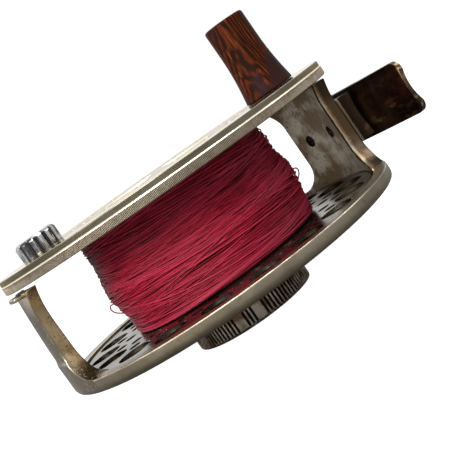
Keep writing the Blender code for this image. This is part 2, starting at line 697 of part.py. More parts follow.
def make_drag_parts():
    """Thrust washer, draw rod, spring washer, pressure plate, cork pad and drag disc."""
    turned("thrust_washer", ring_outline(ROD_HOLE_RADIUS, WASHER_RADIUS, WASHER_LOW, WASHER_HIGH),
           "brass", HIDDEN_SIDES)
    rod_low = KNOB_FLOOR + DRAG_TRAVEL + SEAT_GAP
    turned("drag_rod", [(0, ROD_HEAD_HIGH), (ROD_HEAD_RADIUS, ROD_HEAD_HIGH), (ROD_HEAD_RADIUS, ROD_HEAD_LOW),
                        (ROD_RADIUS, ROD_HEAD_LOW), (ROD_RADIUS, rod_low), (0, rod_low)], "steel", HOLE_SIDES)
    metal = DRAG_SPRING_METAL
    turned("drag_spring", [(ROD_HOLE_RADIUS, DRAG_SPRING_HIGH), (DRAG_SPRING_RADIUS, DRAG_SPRING_LOW + metal),
                           (DRAG_SPRING_RADIUS, DRAG_SPRING_LOW), (ROD_HOLE_RADIUS, DRAG_SPRING_HIGH - metal)],
           "steel", HIDDEN_SIDES)
    hex_radius = SPINDLE_HEX_RADIUS + RUN_GAP / cos(pi / HEXAGON_SIDES)
    hex_cutter = cylinders("plate_hex", [(0, 0)], hex_radius, PRESSURE_LOW - CUT_OVERRUN,
                           PRESSURE_HIGH + CUT_OVERRUN, HEXAGON_SIDES)
    plate = rod_outline(STACK_RADIUS, PRESSURE_LOW, PRESSURE_HIGH)
    cut(turned("pressure_plate", plate, "steel", HIDDEN_SIDES), hex_cutter)
    pad = ring_outline(STACK_BORE_RADIUS, STACK_RADIUS, PAD_LOW, PAD_HIGH)
    turned("brake_pad", pad, "cork", HIDDEN_SIDES)
    disc = ring_outline(STACK_BORE_RADIUS, STACK_RADIUS, DISC_LOW, DISC_HIGH)
    turned("drag_disc", disc, "steel", HIDDEN_SIDES)


def make_spindle():
    """Hollow steel post screwed to the back plate, with a hexagon that keys the pressure plate."""
    body = turned("spindle", [
        (ROD_HOLE_RADIUS, WEB_HIGH), (SPINDLE_RADIUS, WEB_HIGH), (SPINDLE_RADIUS, SPINDLE_FLANGE_HIGH),
        (SPINDLE_FLANGE_RADIUS, SPINDLE_FLANGE_HIGH), (SPINDLE_FLANGE_RADIUS, SPINDLE_LOW),
        (ROD_HOLE_RADIUS, SPINDLE_LOW)], "steel")
    key = cylinders("spindle_key", [(0, 0)], SPINDLE_HEX_RADIUS, WEB_LOW, PRESSURE_HIGH - SEAT_GAP,
                    HEXAGON_SIDES)
    body = combine(body, key, "UNION")
    bore = cylinders("spindle_bore", [(0, 0)], ROD_HOLE_RADIUS, SPINDLE_LOW - CUT_OVERRUN,
                     PRESSURE_HIGH + CUT_OVERRUN, SMALL_SIDES)
    pockets = screw_pockets("spindle_screw_pockets", around(SPINDLE_SCREW_RING, SPINDLE_SCREWS),
                            SPINDLE_FLANGE_HIGH, SPINDLE_FLANGE_THICKNESS)
    cut(body, bore, pockets)


def screw_pockets(name, places, top, depth):
    """Countersunk clearance holes grown from the small screws."""
    head = SMALL_SCREW_HEAD_RADIUS + SEAT_GAP
    shank = SMALL_SCREW_RADIUS + SEAT_GAP
    sink = SMALL_SCREW_HEAD_THICKNESS
    outline = [(0, CUT_OVERRUN), (head, CUT_OVERRUN), (head, 0), (shank, -sink),
               (shank, -depth - CUT_OVERRUN), (0, -depth - CUT_OVERRUN)]
    pattern = turned(name + "_pattern", outline, None, DRILL_SIDES)
    return gathered(name, pattern, [at(place, top) for place in places])


def small_screws(name, places, top, length, finish):
    """Countersunk screws with their heads flush at the given height."""
    outline = countersunk_outline(
        SMALL_SCREW_HEAD_RADIUS, SMALL_SCREW_HEAD_THICKNESS, SMALL_SCREW_RADIUS, length)
    pattern = turned(name + "_pattern", outline, None, DRILL_SIDES)
    copies(name, pattern, [at(place, top) for place in places], finish)


def make_click():
    """Ratchet wheel on the hub, and the pawl, pin, post and spring on the back plate."""
    teeth = []
    for tooth in range(GEAR_TEETH):
        for share, radius in ((0, GEAR_TIP_RADIUS), (0.5, GEAR_ROOT_RADIUS)):
            turn = 2 * pi * (tooth + share) / GEAR_TEETH
            teeth.append((radius * cos(turn), radius * sin(turn)))
    bore = around(HUB_BORE_RADIUS, SMALL_SIDES)
    smooth(extruded("ratchet_gear", [teeth, bore], GEAR_LOW, GEAR_HIGH, "steel"))

    outline = [(PAWL_TIP_HALF_WIDTH, -PAWL_REACH)]
    boss = [(PAWL_BOSS_RADIUS * cos(turn), PAWL_BOSS_RADIUS * sin(turn))
            for turn in [PAWL_SHOULDER_TURN + (pi - 2 * PAWL_SHOULDER_TURN) * i / PAWL_BOSS_STEPS
                         for i in range(PAWL_BOSS_STEPS + 1)]]
    outline += boss + [(-PAWL_TIP_HALF_WIDTH, -PAWL_REACH)]
    pin_hole = around(PAWL_PIN_RADIUS + RUN_GAP, HOLE_SIDES)
    pawl = extruded("click_pawl", [outline, pin_hole], GEAR_LOW, GEAR_HIGH, "brass")
    pawl.location = (0, PAWL_PIVOT_RADIUS, 0)

    collar_high = GEAR_LOW - RUN_GAP
    head_low = GEAR_HIGH + RUN_GAP
    head_high = head_low + PAWL_PIN_HEAD_THICKNESS
    turned("pawl_pin", [
        (0, head_high), (PAWL_PIN_COLLAR_RADIUS, head_high), (PAWL_PIN_COLLAR_RADIUS, head_low),
        (PAWL_PIN_RADIUS, head_low), (PAWL_PIN_RADIUS, collar_high), (PAWL_PIN_COLLAR_RADIUS, collar_high),
        (PAWL_PIN_COLLAR_RADIUS, SPINDLE_LOW), (0, SPINDLE_LOW)], "steel", HOLE_SIDES,
        (0, PAWL_PIVOT_RADIUS, 0))

    post_x = -PAWL_PIVOT_RADIUS * sin(SPRING_POST_TURN)
    post_y = PAWL_PIVOT_RADIUS * cos(SPRING_POST_TURN)
    turned("spring_post", rod_outline(SPRING_POST_RADIUS, SPINDLE_LOW, GEAR_HIGH), "steel", HOLE_SIDES,
           (post_x, post_y, 0))
    loop = SPRING_POST_RADIUS + SEAT_GAP + SPRING_WIRE_RADIUS
    middle = (GEAR_LOW + GEAR_HIGH) / 2
    points = []
    for step in range(SPRING_BEND_STEPS + 1):
        turn = pi - SPRING_BEND * (1 - step / SPRING_BEND_STEPS)
        points.append((post_x + loop * cos(turn), post_y + loop * sin(turn), middle))
    leg_x = -PAWL_BOSS_RADIUS - SPRING_PAWL_GAP
    points.insert(0, (leg_x, PAWL_PIVOT_RADIUS - PAWL_BOSS_RADIUS, middle))
    wire("pawl_spring", points, SPRING_WIRE_RADIUS, "steel")


def make_spool_drum():
    """Hollow drum with an inner web and a hub tube for the two bushes."""
    outer = DRUM_RADIUS
    bore = DRUM_BORE_RADIUS
    foot = DRUM_FOOT_RADIUS
    shoulder = DRUM_SHOULDER_RADIUS
    hub_outer = HUB_BORE_RADIUS + HUB_WALL
    outline = [
        (bore, DRUM_HIGH), (outer, DRUM_HIGH), (outer, DRUM_LOW), (foot, DRUM_LOW),
        (foot, DRUM_LOW + DRUM_FOOT_HEIGHT), (bore, DRUM_LOW + DRUM_FOOT_HEIGHT + DRUM_WALL),
        (bore, WEB_LOW), (hub_outer, WEB_LOW), (hub_outer, HUB_LOW), (HUB_BORE_RADIUS, HUB_LOW),
        (HUB_BORE_RADIUS, WEB_HIGH), (bore, WEB_HIGH), (bore, SHOULDER_LOW), (shoulder, SHOULDER_LOW),
        (shoulder, SHOULDER_HIGH), (bore, SHOULDER_HIGH)]
    drum = turned("spool_drum", outline, "spool_alloy", MEDIUM_SIDES)
    rivet_holes = cylinders(
        "drum_rivet_holes", around(rivet_ring(), FLANGE_RIVETS), RIVET_RADIUS + SEAT_GAP,
        DRUM_LOW - CUT_OVERRUN, DRUM_LOW + DRUM_FOOT_HEIGHT, DRILL_SIDES)
    screw_holes = cylinders(
        "shoulder_screw_holes", around(FACE_SCREW_RING, FACE_SCREWS),
        SMALL_SCREW_RADIUS + SEAT_GAP, SHOULDER_LOW - CUT_OVERRUN, SHOULDER_HIGH + CUT_OVERRUN, DRILL_SIDES)
    cut(drum, rivet_holes, screw_holes)


def rivet_ring():
    """Radius of the ring of rivets, in the middle of the drum's foot."""
    return DRUM_FOOT_RADIUS + DRUM_FOOT_WIDTH / 2


def make_inner_flange():
    """Thin polished disc drilled with a ring of large holes and two rings of small ones."""
    flange = turned("inner_flange", ring_outline(
        DRUM_FOOT_RADIUS, FLANGE_RADIUS, FLANGE_LOW, FLANGE_HIGH), "spool_alloy", LARGE_SIDES)
    low = FLANGE_LOW - CUT_OVERRUN
    high = FLANGE_HIGH + CUT_OVERRUN
    half_pitch = pi / FLANGE_BIG_HOLES
    big = cylinders("flange_big_holes", around(FLANGE_BIG_RING_RADIUS, FLANGE_BIG_HOLES),
                    FLANGE_BIG_HOLE_RADIUS, low, high)
    between = around(FLANGE_SMALL_RING_RADIUS + FLANGE_SMALL_HOLE_RADIUS, FLANGE_BIG_HOLES, half_pitch)
    inside = around(FLANGE_SMALL_RING_RADIUS - FLANGE_SMALL_HOLE_RADIUS, FLANGE_BIG_HOLES)
    small = cylinders("flange_small_holes", between + inside, FLANGE_SMALL_HOLE_RADIUS, low, high, DRILL_SIDES)
    rivets = cylinders("flange_rivet_holes", around(rivet_ring(), FLANGE_RIVETS), RIVET_RADIUS + SEAT_GAP,
                       low, high, DRILL_SIDES)
    cut(flange, big, small, rivets)
    rivet_high = DRUM_LOW + DRUM_FOOT_HEIGHT - SEAT_GAP
    pattern = turned("rivet_pattern", rod_outline(RIVET_RADIUS, FLANGE_LOW, rivet_high), None, DRILL_SIDES)
    copies("flange_rivet", pattern, [at(place) for place in around(rivet_ring(), FLANGE_RIVETS)], "steel")


def make_spool_face():
    """Rimmed crank plate with a dished centre and a ring of drain holes."""
    rim_inner = RIM_RADIUS - SPOOL_RIM_WALL
    top_round = SPOOL_RIM_ROUND
    top_edge = []
    for step in range(FILLET_STEPS + 1):
        turn = pi / 2 * step / FILLET_STEPS
        top_edge.append((RIM_RADIUS - top_round * (1 - sin(turn)), FACE_HIGH - top_round * (1 - cos(turn))))
    band_high = SPOOL_RIM_LOW + KNURL_BAND_HEIGHT
    stem_hole = CAP_STEM_RADIUS + SEAT_GAP
    floor_radius = DRUM_BORE_RADIUS - SEAT_GAP
    outline = [
        (stem_hole, DISH_HIGH), (floor_radius - DISH_SLOPE, DISH_HIGH), (floor_radius, FACE_HIGH), *top_edge,
        (RIM_RADIUS, band_high + KNURL_BAND_STEP), (RIM_RADIUS - KNURL_BAND_STEP, band_high),
        (RIM_RADIUS - KNURL_BAND_STEP, SPOOL_RIM_LOW),
        (rim_inner, SPOOL_RIM_LOW),
        (rim_inner, FACE_UNDER), (floor_radius, FACE_UNDER), (floor_radius, DISH_LOW), (stem_hole, DISH_LOW)]
    face = turned("spool_face", outline, "spool_alloy", LARGE_SIDES)
    low = DISH_LOW - CUT_OVERRUN
    high = FACE_HIGH + CUT_OVERRUN
    ring = around(FACE_HOLE_RING_RADIUS, FACE_HOLES, HANDLE_TURN + pi / FACE_HOLES)
    holes = cylinders("face_holes", ring, FACE_HOLE_RADIUS, low, high)
    axle = cylinders("axle_hole", [handle_place(HANDLE_TURN)], AXLE_RADIUS + SEAT_GAP, low, high)
    weight = cylinders("weight_screw_hole", [handle_place(HANDLE_TURN + pi)],
                       COUNTERWEIGHT_SCREW_RADIUS + SEAT_GAP, low, high)
    places = around(FACE_SCREW_RING, FACE_SCREWS)
    pockets = screw_pockets("face_screw_pockets", places, DISH_HIGH, DISH_FLOOR)
    cut(face, holes, axle, weight, pockets)
    small_screws("face_screw", places, DISH_HIGH, DISH_FLOOR + DRUM_SHOULDER_THICKNESS, "steel")


def make_cap():
    """Low domed cap in the dish, on a short stem."""
    low = DISH_HIGH + SEAT_GAP
    stem_low = DISH_LOW + CAP_STEM_CLEARANCE
    outline = [(0, low + CAP_RISE)]
    for step in range(1, DOME_STEPS):
        turn = pi / 2 * step / DOME_STEPS
        outline.append((CAP_RADIUS * sin(turn), low + CAP_RISE * cos(turn)))
    outline += [(CAP_RADIUS, low), (CAP_STEM_RADIUS, low), (CAP_STEM_RADIUS, stem_low), (0, stem_low)]
    turned("spool_cap", outline, "steel", HIDDEN_SIDES)


def make_bushes():
    """Two bronze bushes in the ends of the hub."""
    inner = SPINDLE_RADIUS + RUN_GAP
    outer = HUB_BORE_RADIUS - SEAT_GAP
    low = HUB_LOW + BUSH_INSET
    high = WEB_HIGH - BUSH_INSET
    turned("bush_lower", ring_outline(inner, outer, low, low + BUSH_HEIGHT), "brass", HIDDEN_SIDES)
    turned("bush_upper", ring_outline(inner, outer, high - BUSH_HEIGHT, high), "brass", HIDDEN_SIDES)


def make_handle():
    """Turned hardwood grip that spins on a headed axle riveted through the crank face."""
    hole = AXLE_RADIUS + RUN_GAP
    sink_floor = GRIP_HEIGHT - GRIP_SINK_DEPTH
    outline = [(hole, sink_floor), (GRIP_SINK_RADIUS, sink_floor), (GRIP_SINK_RADIUS, GRIP_HEIGHT)]
    for step in range(FILLET_STEPS + 1):
        turn = pi / 2 * step / FILLET_STEPS
        outline.append((GRIP_TOP_RADIUS - GRIP_EDGE_ROUND * (1 - sin(turn)),
                        GRIP_HEIGHT - GRIP_EDGE_ROUND * (1 - cos(turn))))
    for step in range(FLARE_STEPS + 1):
        share = step / FLARE_STEPS
        outline.append((GRIP_TOP_RADIUS + (GRIP_BASE_RADIUS - GRIP_TOP_RADIUS) * share ** 2,
                        GRIP_EDGE_ROUND + (GRIP_FLARE_HEIGHT - GRIP_EDGE_ROUND) * (1 - share)))
    outline += [(GRIP_BASE_RADIUS - GRIP_EDGE_ROUND, 0), (hole, 0)]
    x, y = handle_place(HANDLE_TURN)
    turned("handle_grip", outline, "rosewood", SMALL_SIDES, (x, y, GRIP_LOW))
    head_low = GRIP_LOW + sink_floor + RUN_GAP
    head_high = head_low + AXLE_HEAD_THICKNESS
    axle_low = FACE_UNDER + SEAT_GAP
    turned("handle_axle", [(0, head_high), (AXLE_HEAD_RADIUS, head_high), (AXLE_HEAD_RADIUS, head_low),
                           (AXLE_RADIUS, head_low), (AXLE_RADIUS, axle_low), (0, axle_low)],
           "steel", HOLE_SIDES, (x, y, 0))


def make_counterweight():
    """Fluted chromed knob opposite the handle, held by a screw from below."""
    x, y = handle_place(HANDLE_TURN + pi)
    low = FACE_HIGH + SEAT_GAP
    high = low + COUNTERWEIGHT_HEIGHT
    bevel = COUNTERWEIGHT_BEVEL
    hole = COUNTERWEIGHT_SCREW_RADIUS + SEAT_GAP
    roof = high - COUNTERWEIGHT_TOP_WALL
    outline = [(0, high), (COUNTERWEIGHT_RADIUS - bevel, high), (COUNTERWEIGHT_RADIUS, high - bevel),
               (COUNTERWEIGHT_RADIUS, low), (hole, low), (hole, roof), (0, roof)]
    knob = turned("counterweight_knob", outline, "chrome", SMALL_SIDES)
    flute_ring = COUNTERWEIGHT_RADIUS + FLUTE_RADIUS - FLUTE_DEPTH
    flutes = cylinders("weight_flutes", around(flute_ring, COUNTERWEIGHT_FLUTES),
                       FLUTE_RADIUS, low - CUT_OVERRUN, high + CUT_OVERRUN, FLUTE_SIDES)
    knob = cut(knob, flutes)
    knob.location = (x, y, 0)
    turned("counterweight_screw", rod_outline(
        COUNTERWEIGHT_SCREW_RADIUS, FACE_UNDER + SEAT_GAP, roof - SEAT_GAP), "steel", HOLE_SIDES, (x, y, 0))


def line_radius(share):
    """Outer radius of the wound line at a share of its width: fuller in the middle."""
    return LINE_RADIUS_MIDDLE - (LINE_RADIUS_MIDDLE - LINE_RADIUS_END) * (2 * share - 1) ** 2


def make_line():
    """Plain core of line, and its outer layer as one unbroken tube of open turns."""
    low = DRUM_LOW
    high = DRUM_HIGH
    facet_sag_share = cos(pi / WINDING_POINTS_A_LOOP)
    core_inner = DRUM_RADIUS + SEAT_GAP
    outline = [(core_inner, high)]
    for step in range(LINE_CORE_STEPS + 1):
        share = 1 - step / LINE_CORE_STEPS
        centre = line_radius(share) - WINDING_TUBE_RADIUS
        outline.append((centre * facet_sag_share - WINDING_TUBE_RADIUS - SEAT_GAP, low + (high - low) * share))
    outline.append((core_inner, low))
    turned("line_core", outline, "red_line", MEDIUM_SIDES)

    first = low + LINE_END_MARGIN + WINDING_TUBE_RADIUS
    last = high - LINE_END_MARGIN - WINDING_TUBE_RADIUS
    count = WINDING_LOOPS * WINDING_POINTS_A_LOOP
    points = []
    for i in range(count + 1):
        share = i / count
        turn = 2 * pi * i / WINDING_POINTS_A_LOOP
        height = first + (last - first) * share
        radius = line_radius((height - low) / (high - low)) - WINDING_TUBE_RADIUS
        points.append(Vector((radius * cos(turn), radius * sin(turn), height)))
    straight = 2 * WINDING_TUBE_RADIUS
    start = points[0] + (points[0] - points[1]).normalized() * straight
    end = points[-1] + (points[-1] - points[-2]).normalized() * straight
    points = [start] + points + [end]
    wire("line_winding", points, WINDING_TUBE_RADIUS, "red_line")
    print("least gap between turns, mm:", round(least_gap(points) / MM, 3))


def least_gap(points):
    """Least clear distance between one turn and the turns beyond it."""
    skip = WINDING_POINTS_A_LOOP // 2
    near = min((points[i] - points[j]).length
               for i in range(len(points))
               for j in range(i + skip, min(i + 3 * skip, len(points))))
    return near - 2 * WINDING_TUBE_RADIUS


make_frame_cage()
make_reel_foot(bpy.data.objects["foot_screw_holes"])
make_foot_screws()
make_drag_knob()
make_drag_parts()
make_spindle()
small_screws("spindle_screw", around(SPINDLE_SCREW_RING, SPINDLE_SCREWS), SPINDLE_FLANGE_HIGH,
             SPINDLE_FLANGE_THICKNESS + PLATE_THICKNESS, "steel")
make_click()
make_spool_drum()
make_inner_flange()
make_spool_face()
make_cap()
make_bushes()
make_handle()
make_counterweight()
make_line()
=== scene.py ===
"""Looks of the fly reel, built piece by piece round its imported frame."""
import bmesh
import bpy
import random
from math import atan2, ceil, cos, exp, pi, radians, sin, sqrt
from mathutils import Matrix, Vector


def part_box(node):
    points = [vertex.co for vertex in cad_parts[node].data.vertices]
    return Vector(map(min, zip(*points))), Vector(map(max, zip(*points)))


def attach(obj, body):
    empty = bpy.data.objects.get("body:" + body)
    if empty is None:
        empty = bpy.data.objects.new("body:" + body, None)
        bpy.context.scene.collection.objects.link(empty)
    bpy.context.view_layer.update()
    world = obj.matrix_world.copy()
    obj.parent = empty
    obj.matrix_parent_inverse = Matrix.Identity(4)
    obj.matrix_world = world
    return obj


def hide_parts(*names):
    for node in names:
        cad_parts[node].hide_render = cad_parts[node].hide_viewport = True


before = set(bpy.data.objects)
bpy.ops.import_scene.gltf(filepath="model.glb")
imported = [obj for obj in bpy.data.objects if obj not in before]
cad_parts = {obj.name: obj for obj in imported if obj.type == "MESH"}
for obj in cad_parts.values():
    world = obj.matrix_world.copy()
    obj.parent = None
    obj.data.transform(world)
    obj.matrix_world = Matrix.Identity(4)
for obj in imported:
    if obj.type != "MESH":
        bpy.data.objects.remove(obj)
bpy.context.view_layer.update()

MM = 0.001
FULL_TURN = 2 * pi
QUARTER_TURN = pi / 2


# Cage
# The cage is turned and milled from one bar.  This is its back plate, with a rounded rim and two
# grooves underneath.  The lacquer has worn to a warm grey-brown patina; a painted highlight runs
# along the rim's top edges, and painted shade darkens the cage towards its underside.

PLATE_LOW = 9.1 * MM
PLATE_HIGH = 10.6 * MM
PLATE_FILLET = 0.5 * MM
RIM_HIGH = 12.7 * MM
RIM_WALL = 3.3 * MM
RIM_INNER_ROUND = 0.2 * MM
RIM_TOP_ROUND = 0.45 * MM
RIM_BOTTOM_ROUND = 2.6 * MM
PLATE_GROOVES = (20.0 * MM, 30.5 * MM)
GROOVE_HALF_WIDTH = 0.35 * MM
GROOVE_DEPTH = 0.25 * MM
ROD_HOLE = 2.1 * MM
SPINDLE_SCREW_RING = 6.5 * MM
SPINDLE_SCREWS = 3
SCREW_HOLE = 0.9 * MM
DRILL_CHAMFER = 0.15 * MM
DRILL_OVERRUN = 0.4 * MM
DRILL_SIDES = 32
CAGE_SIDES = 224
WELD_DISTANCE = 0.0001 * MM
SHARP_ANGLE = radians(35)
LARGE_PIECE = 40000
CAGE_CLEAN = (0.25, 0.212, 0.155)
CAGE_WORN = (0.34, 0.298, 0.23)
CAGE_STAIN_AND_SHADE = (0.09, 0.07, 0.045)
# A painted highlight for turned edges: a bright cream line.
EDGE_HIGHLIGHT = (0.98, 0.88, 0.7)
EDGE_REACH = 0.2 * MM
# Painted shade darkens the cage towards its underside; its limits wander by this swing.
SHADE_SWING = 1.2 * MM
SHADE_BELOW_RIM = 0.8 * MM
LATHE_MARK_LENGTH = 0.6 * MM
PATINA_RELIEF = 0.03 * MM


class Socket:
    """An output socket; Python's operators on it add Math nodes to its tree."""

    def __init__(self, nodes, output):
        self.nodes = nodes
        self.output = output

    def __add__(self, other):
        return self.nodes.maths("ADD", self, other)

    def __sub__(self, other):
        return self.nodes.maths("SUBTRACT", self, other)

    def __rsub__(self, other):
        return self.nodes.maths("SUBTRACT", other, self)

    def __mul__(self, other):
        return self.nodes.maths("MULTIPLY", self, other)

    def __truediv__(self, other):
        return self.nodes.maths("DIVIDE", self, other)

    def __pow__(self, other):
        return self.nodes.maths("POWER", self, other)

    __radd__ = __add__
    __rmul__ = __mul__


class Nodes:
    """A node tree under construction."""

    def __init__(self, tree):
        self.tree = tree

    def node(self, kind, settings=None, inputs=(), output=0):
        """Add a node: its settings first, then the values or links of its sockets."""
        made = self.tree.nodes.new(kind)
        for name, value in (settings or {}).items():
            setattr(made, name, value)
        pairs = inputs.items() if isinstance(inputs, dict) else enumerate(inputs)
        for key, value in pairs:
            if isinstance(value, Socket):
                self.tree.links.new(value.output, made.inputs[key])
            else:
                made.inputs[key].default_value = value
        return Socket(self, made.outputs[output]) if len(made.outputs) else None

    def maths(self, operation, first, second=0.0):
        return self.node("ShaderNodeMath", {"operation": operation}, (first, second))

    def mix(self, share, first, second):
        """Blend two colours by a share from 0 to 1; a Mix node takes colours at inputs 6 and 7."""
        colours = [value if isinstance(value, Socket) else (*value, 1.0) for value in (first, second)]
        return self.node("ShaderNodeMix", {"data_type": "RGBA"}, {0: share, 6: colours[0], 7: colours[1]}, 2)

    def step(self, value, low, high, low_share=0.0, high_share=1.0):
        """Ramp a value smoothly between two limits."""
        return self.node("ShaderNodeMapRange", {"interpolation_type": "SMOOTHSTEP"},
                         (value, low, high, low_share, high_share))

    def ragged(self, value, cloud, swing, low, high, low_share=0.0, high_share=1.0):
        """Ramp a value whose limits wander by a swing, as a noise says."""
        return self.step(value + (cloud - 0.5) * swing, low, high, low_share, high_share)

    def noise(self, place, scale, detail=3.0, roughness=0.55):
        return self.node("ShaderNodeTexNoise", None,
                         {"Vector": place, "Scale": scale, "Detail": detail, "Roughness": roughness})

    def stretched(self, place, scale):
        """Scale a position unevenly, so that a pattern on it runs long one way."""
        return self.node("ShaderNodeVectorMath", {"operation": "MULTIPLY"}, (place, scale))

    def split(self, place):
        """The three coordinates of a position."""
        first = self.node("ShaderNodeSeparateXYZ", None, (place,))
        return [Socket(self, output) for output in first.output.node.outputs]

    def joined(self, x, y, z):
        return self.node("ShaderNodeCombineXYZ", None, (x, y, z))

    def place(self):
        """The surface's own position, which stays with the piece when it moves."""
        return self.node("ShaderNodeTexCoord", output="Object")

    def pointiness(self):
        """How sharply the surface bends outwards: over a half along its edges."""
        return self.node("ShaderNodeNewGeometry", output="Pointiness")

    def radius(self, place):
        """How far a position lies from the upright axis."""
        x, y = self.split(place)[:2]
        return self.maths("SQRT", x * x + y * y)

    def turn(self, place):
        """A position's turn about the upright axis."""
        x, y = self.split(place)[:2]
        return self.maths("ARCTAN2", y, x)

    def height(self, place):
        return self.split(place)[2]


def new_finish(name):
    """A new material and its node helper."""
    finish = bpy.data.materials.new(name)
    finish.use_nodes = True
    return finish, Nodes(finish.node_tree)


def set_shader(finish, **values):
    """Set or link the Principled shader's sockets, named with underscores for spaces."""
    shader = finish.node_tree.nodes["Principled BSDF"]
    for name, value in values.items():
        socket = shader.inputs[name.replace("_", " ")]
        if isinstance(value, Socket):
            finish.node_tree.links.new(value.output, socket)
        elif isinstance(value, tuple):
            socket.default_value = (*value, 1.0)
        else:
            socket.default_value = value
    return finish


def bump(nodes, height, strength, distance):
    """A normal from a height field, distance in metres."""
    return nodes.node("ShaderNodeBump", None, {"Strength": strength, "Distance": distance, "Height": height})


def turning_marks(nodes, place, scale):
    """Fine rings left by the lathe, which run round the reel's axis."""
    along = nodes.joined(nodes.radius(place), nodes.height(place), nodes.turn(place) * LATHE_MARK_LENGTH)
    return nodes.noise(along, scale, 2.0)


def near_edges(nodes, place, edges, reach, cloud):
    """A mask that is 1 along turned edges, each a (radius, height), and ragged where it fades."""
    radius = nodes.radius(place)
    height = nodes.height(place)
    mask = 0.0
    for edge_radius, edge_height in edges:
        aside = radius - edge_radius
        above = height - edge_height
        distance = nodes.maths("SQRT", aside * aside + above * above)
        mask = nodes.maths("MAXIMUM", mask, nodes.ragged(distance, cloud, reach, reach, reach * 0.5))
    return mask


def patinated_alloy(name, clean, wear_and_highlight, stain_and_shade, roughness, edges=(), reach=EDGE_REACH, shade_fade=()):
    """Old lacquered alloy: pale worn patches, a painted highlight along given edges, brown stains, painted
    shade towards the bottom where a fade is given, pits and lathe marks.
    """
    finish, nodes = new_finish(name)
    place = nodes.place()
    broad = nodes.noise(place, 70.0, 4.0)
    fine = nodes.noise(place, 420.0, 5.0, 0.65)
    marks = turning_marks(nodes, place, 5200.0)
    colour = nodes.mix(nodes.step(broad, 0.38, 0.62), clean, wear_and_highlight)
    colour = nodes.mix(nodes.step(fine, 0.56, 0.74) * 0.55, colour, stain_and_shade)
    if shade_fade:
        # Painted shade: the alloy darkens towards the bottom, between the fade's heights.
        shade = nodes.ragged(nodes.height(place), fine, SHADE_SWING, *shade_fade, 0.75, 0.0)
        colour = nodes.mix(shade, colour, stain_and_shade)
    pits = nodes.step(nodes.noise(place, 1500.0, 2.0), 0.66, 0.74)
    colour = nodes.mix(pits * 0.5, colour, stain_and_shade)
    if edges:
        # The given edges get a painted highlight.
        colour = nodes.mix(near_edges(nodes, place, edges, reach, fine), colour, EDGE_HIGHLIGHT)
    rough = roughness + (fine - 0.5) * 0.22 + (marks - 0.5) * 0.12
    relief = marks * 0.6 + fine * 0.5 - pits * 0.6
    return set_shader(finish, Base_Color=colour, Metallic=1.0, Roughness=rough,
                      Normal=bump(nodes, relief, 0.35, PATINA_RELIEF))


def added(name, data):
    """A new object in the scene."""
    made = bpy.data.objects.new(name, data)
    bpy.context.scene.collection.objects.link(made)
    return made


def rounded(points, radii, steps=4):
    """Round the corners of an open outline, one radius for each corner."""
    outline = []
    for i, (point, radius) in enumerate(zip(points, radii)):
        if radius == 0:
            outline.append(point)
            continue
        corner = Vector(point)
        before = Vector(points[i - 1]) - corner
        after = Vector(points[(i + 1) % len(points)]) - corner
        reach = min(radius, before.length / 2, after.length / 2)
        start = corner + before.normalized() * reach
        end = corner + after.normalized() * reach
        for step in range(steps + 1):
            share = step / steps
            outline.append(tuple(start.lerp(corner, share).lerp(corner.lerp(end, share), share)))
    return outline


def shape(name, work, sharp=SHARP_ANGLE):
    """Turn a bmesh into an object with outward normals, smooth but for its sharp edges."""
    bmesh.ops.remove_doubles(work, verts=work.verts, dist=WELD_DISTANCE)
    bmesh.ops.recalc_face_normals(work, faces=work.faces)
    mesh = bpy.data.meshes.new(name)
    work.to_mesh(mesh)
    work.free()
    mesh.shade_smooth()
    mesh.set_sharp_from_angle(angle=sharp)
    return added(name, mesh)


def turned(name, outline, sides, place=(0, 0)):
    """Turn a closed outline of (radius, height) round an upright axis at a place."""
    work = bmesh.new()
    turns = [FULL_TURN * i / sides for i in range(sides)]
    rings = []
    for radius, height in outline:
        if radius == 0:
            rings.append([work.verts.new((*place, height))] * sides)
            continue
        rings.append([work.verts.new((place[0] + radius * cos(turn), place[1] + radius * sin(turn), height))
                      for turn in turns])
    for i, ring in enumerate(rings):
        following = rings[(i + 1) % len(rings)]
        for j in range(sides):
            corners = [ring[j], ring[(j + 1) % sides], following[(j + 1) % sides], following[j]]
            corners = list(dict.fromkeys(corners))
            if len(corners) > 2:
                work.faces.new(corners)
    return shape(name, work)


def baked(piece):
    """Replace an object's modifiers by the plain mesh that they make."""
    bpy.context.view_layer.update()
    evaluated = piece.evaluated_get(bpy.context.evaluated_depsgraph_get())
    mesh = bpy.data.meshes.new_from_object(evaluated)
    piece.modifiers.clear()
    if piece.type == "MESH":
        piece.data = mesh
        return piece
    name = piece.name
    bpy.data.objects.remove(piece)
    return added(name, mesh)


def cut(piece, cutter):
    """Cut a piece with another, and remove the cutter."""
    boolean = piece.modifiers.new("Cut", "BOOLEAN")
    boolean.operation = "DIFFERENCE"
    boolean.solver = "EXACT"
    boolean.object = cutter
    piece = baked(piece)
    bpy.data.objects.remove(cutter)
    piece.data.shade_smooth()
    piece.data.set_sharp_from_angle(angle=SHARP_ANGLE)
    return piece


def evened(piece):
    """Weight a piece's normals by face size, so that flat faces look flat up to their rounded edges."""
    weights = piece.modifiers.new("Even normals", "WEIGHTED_NORMAL")
    weights.keep_sharp = True
    weights.weight = 100
    return baked(piece)


def dress(piece, finish, body, slot, *nodes):
    """Give a piece its finish and body, and let it stand for CAD nodes."""
    if len(piece.data.polygons) < LARGE_PIECE:
        evened(piece)
    piece.data.materials.clear()
    piece.data.materials.append(finish)
    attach(piece, body)
    if nodes:
        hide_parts(*nodes)
    return piece


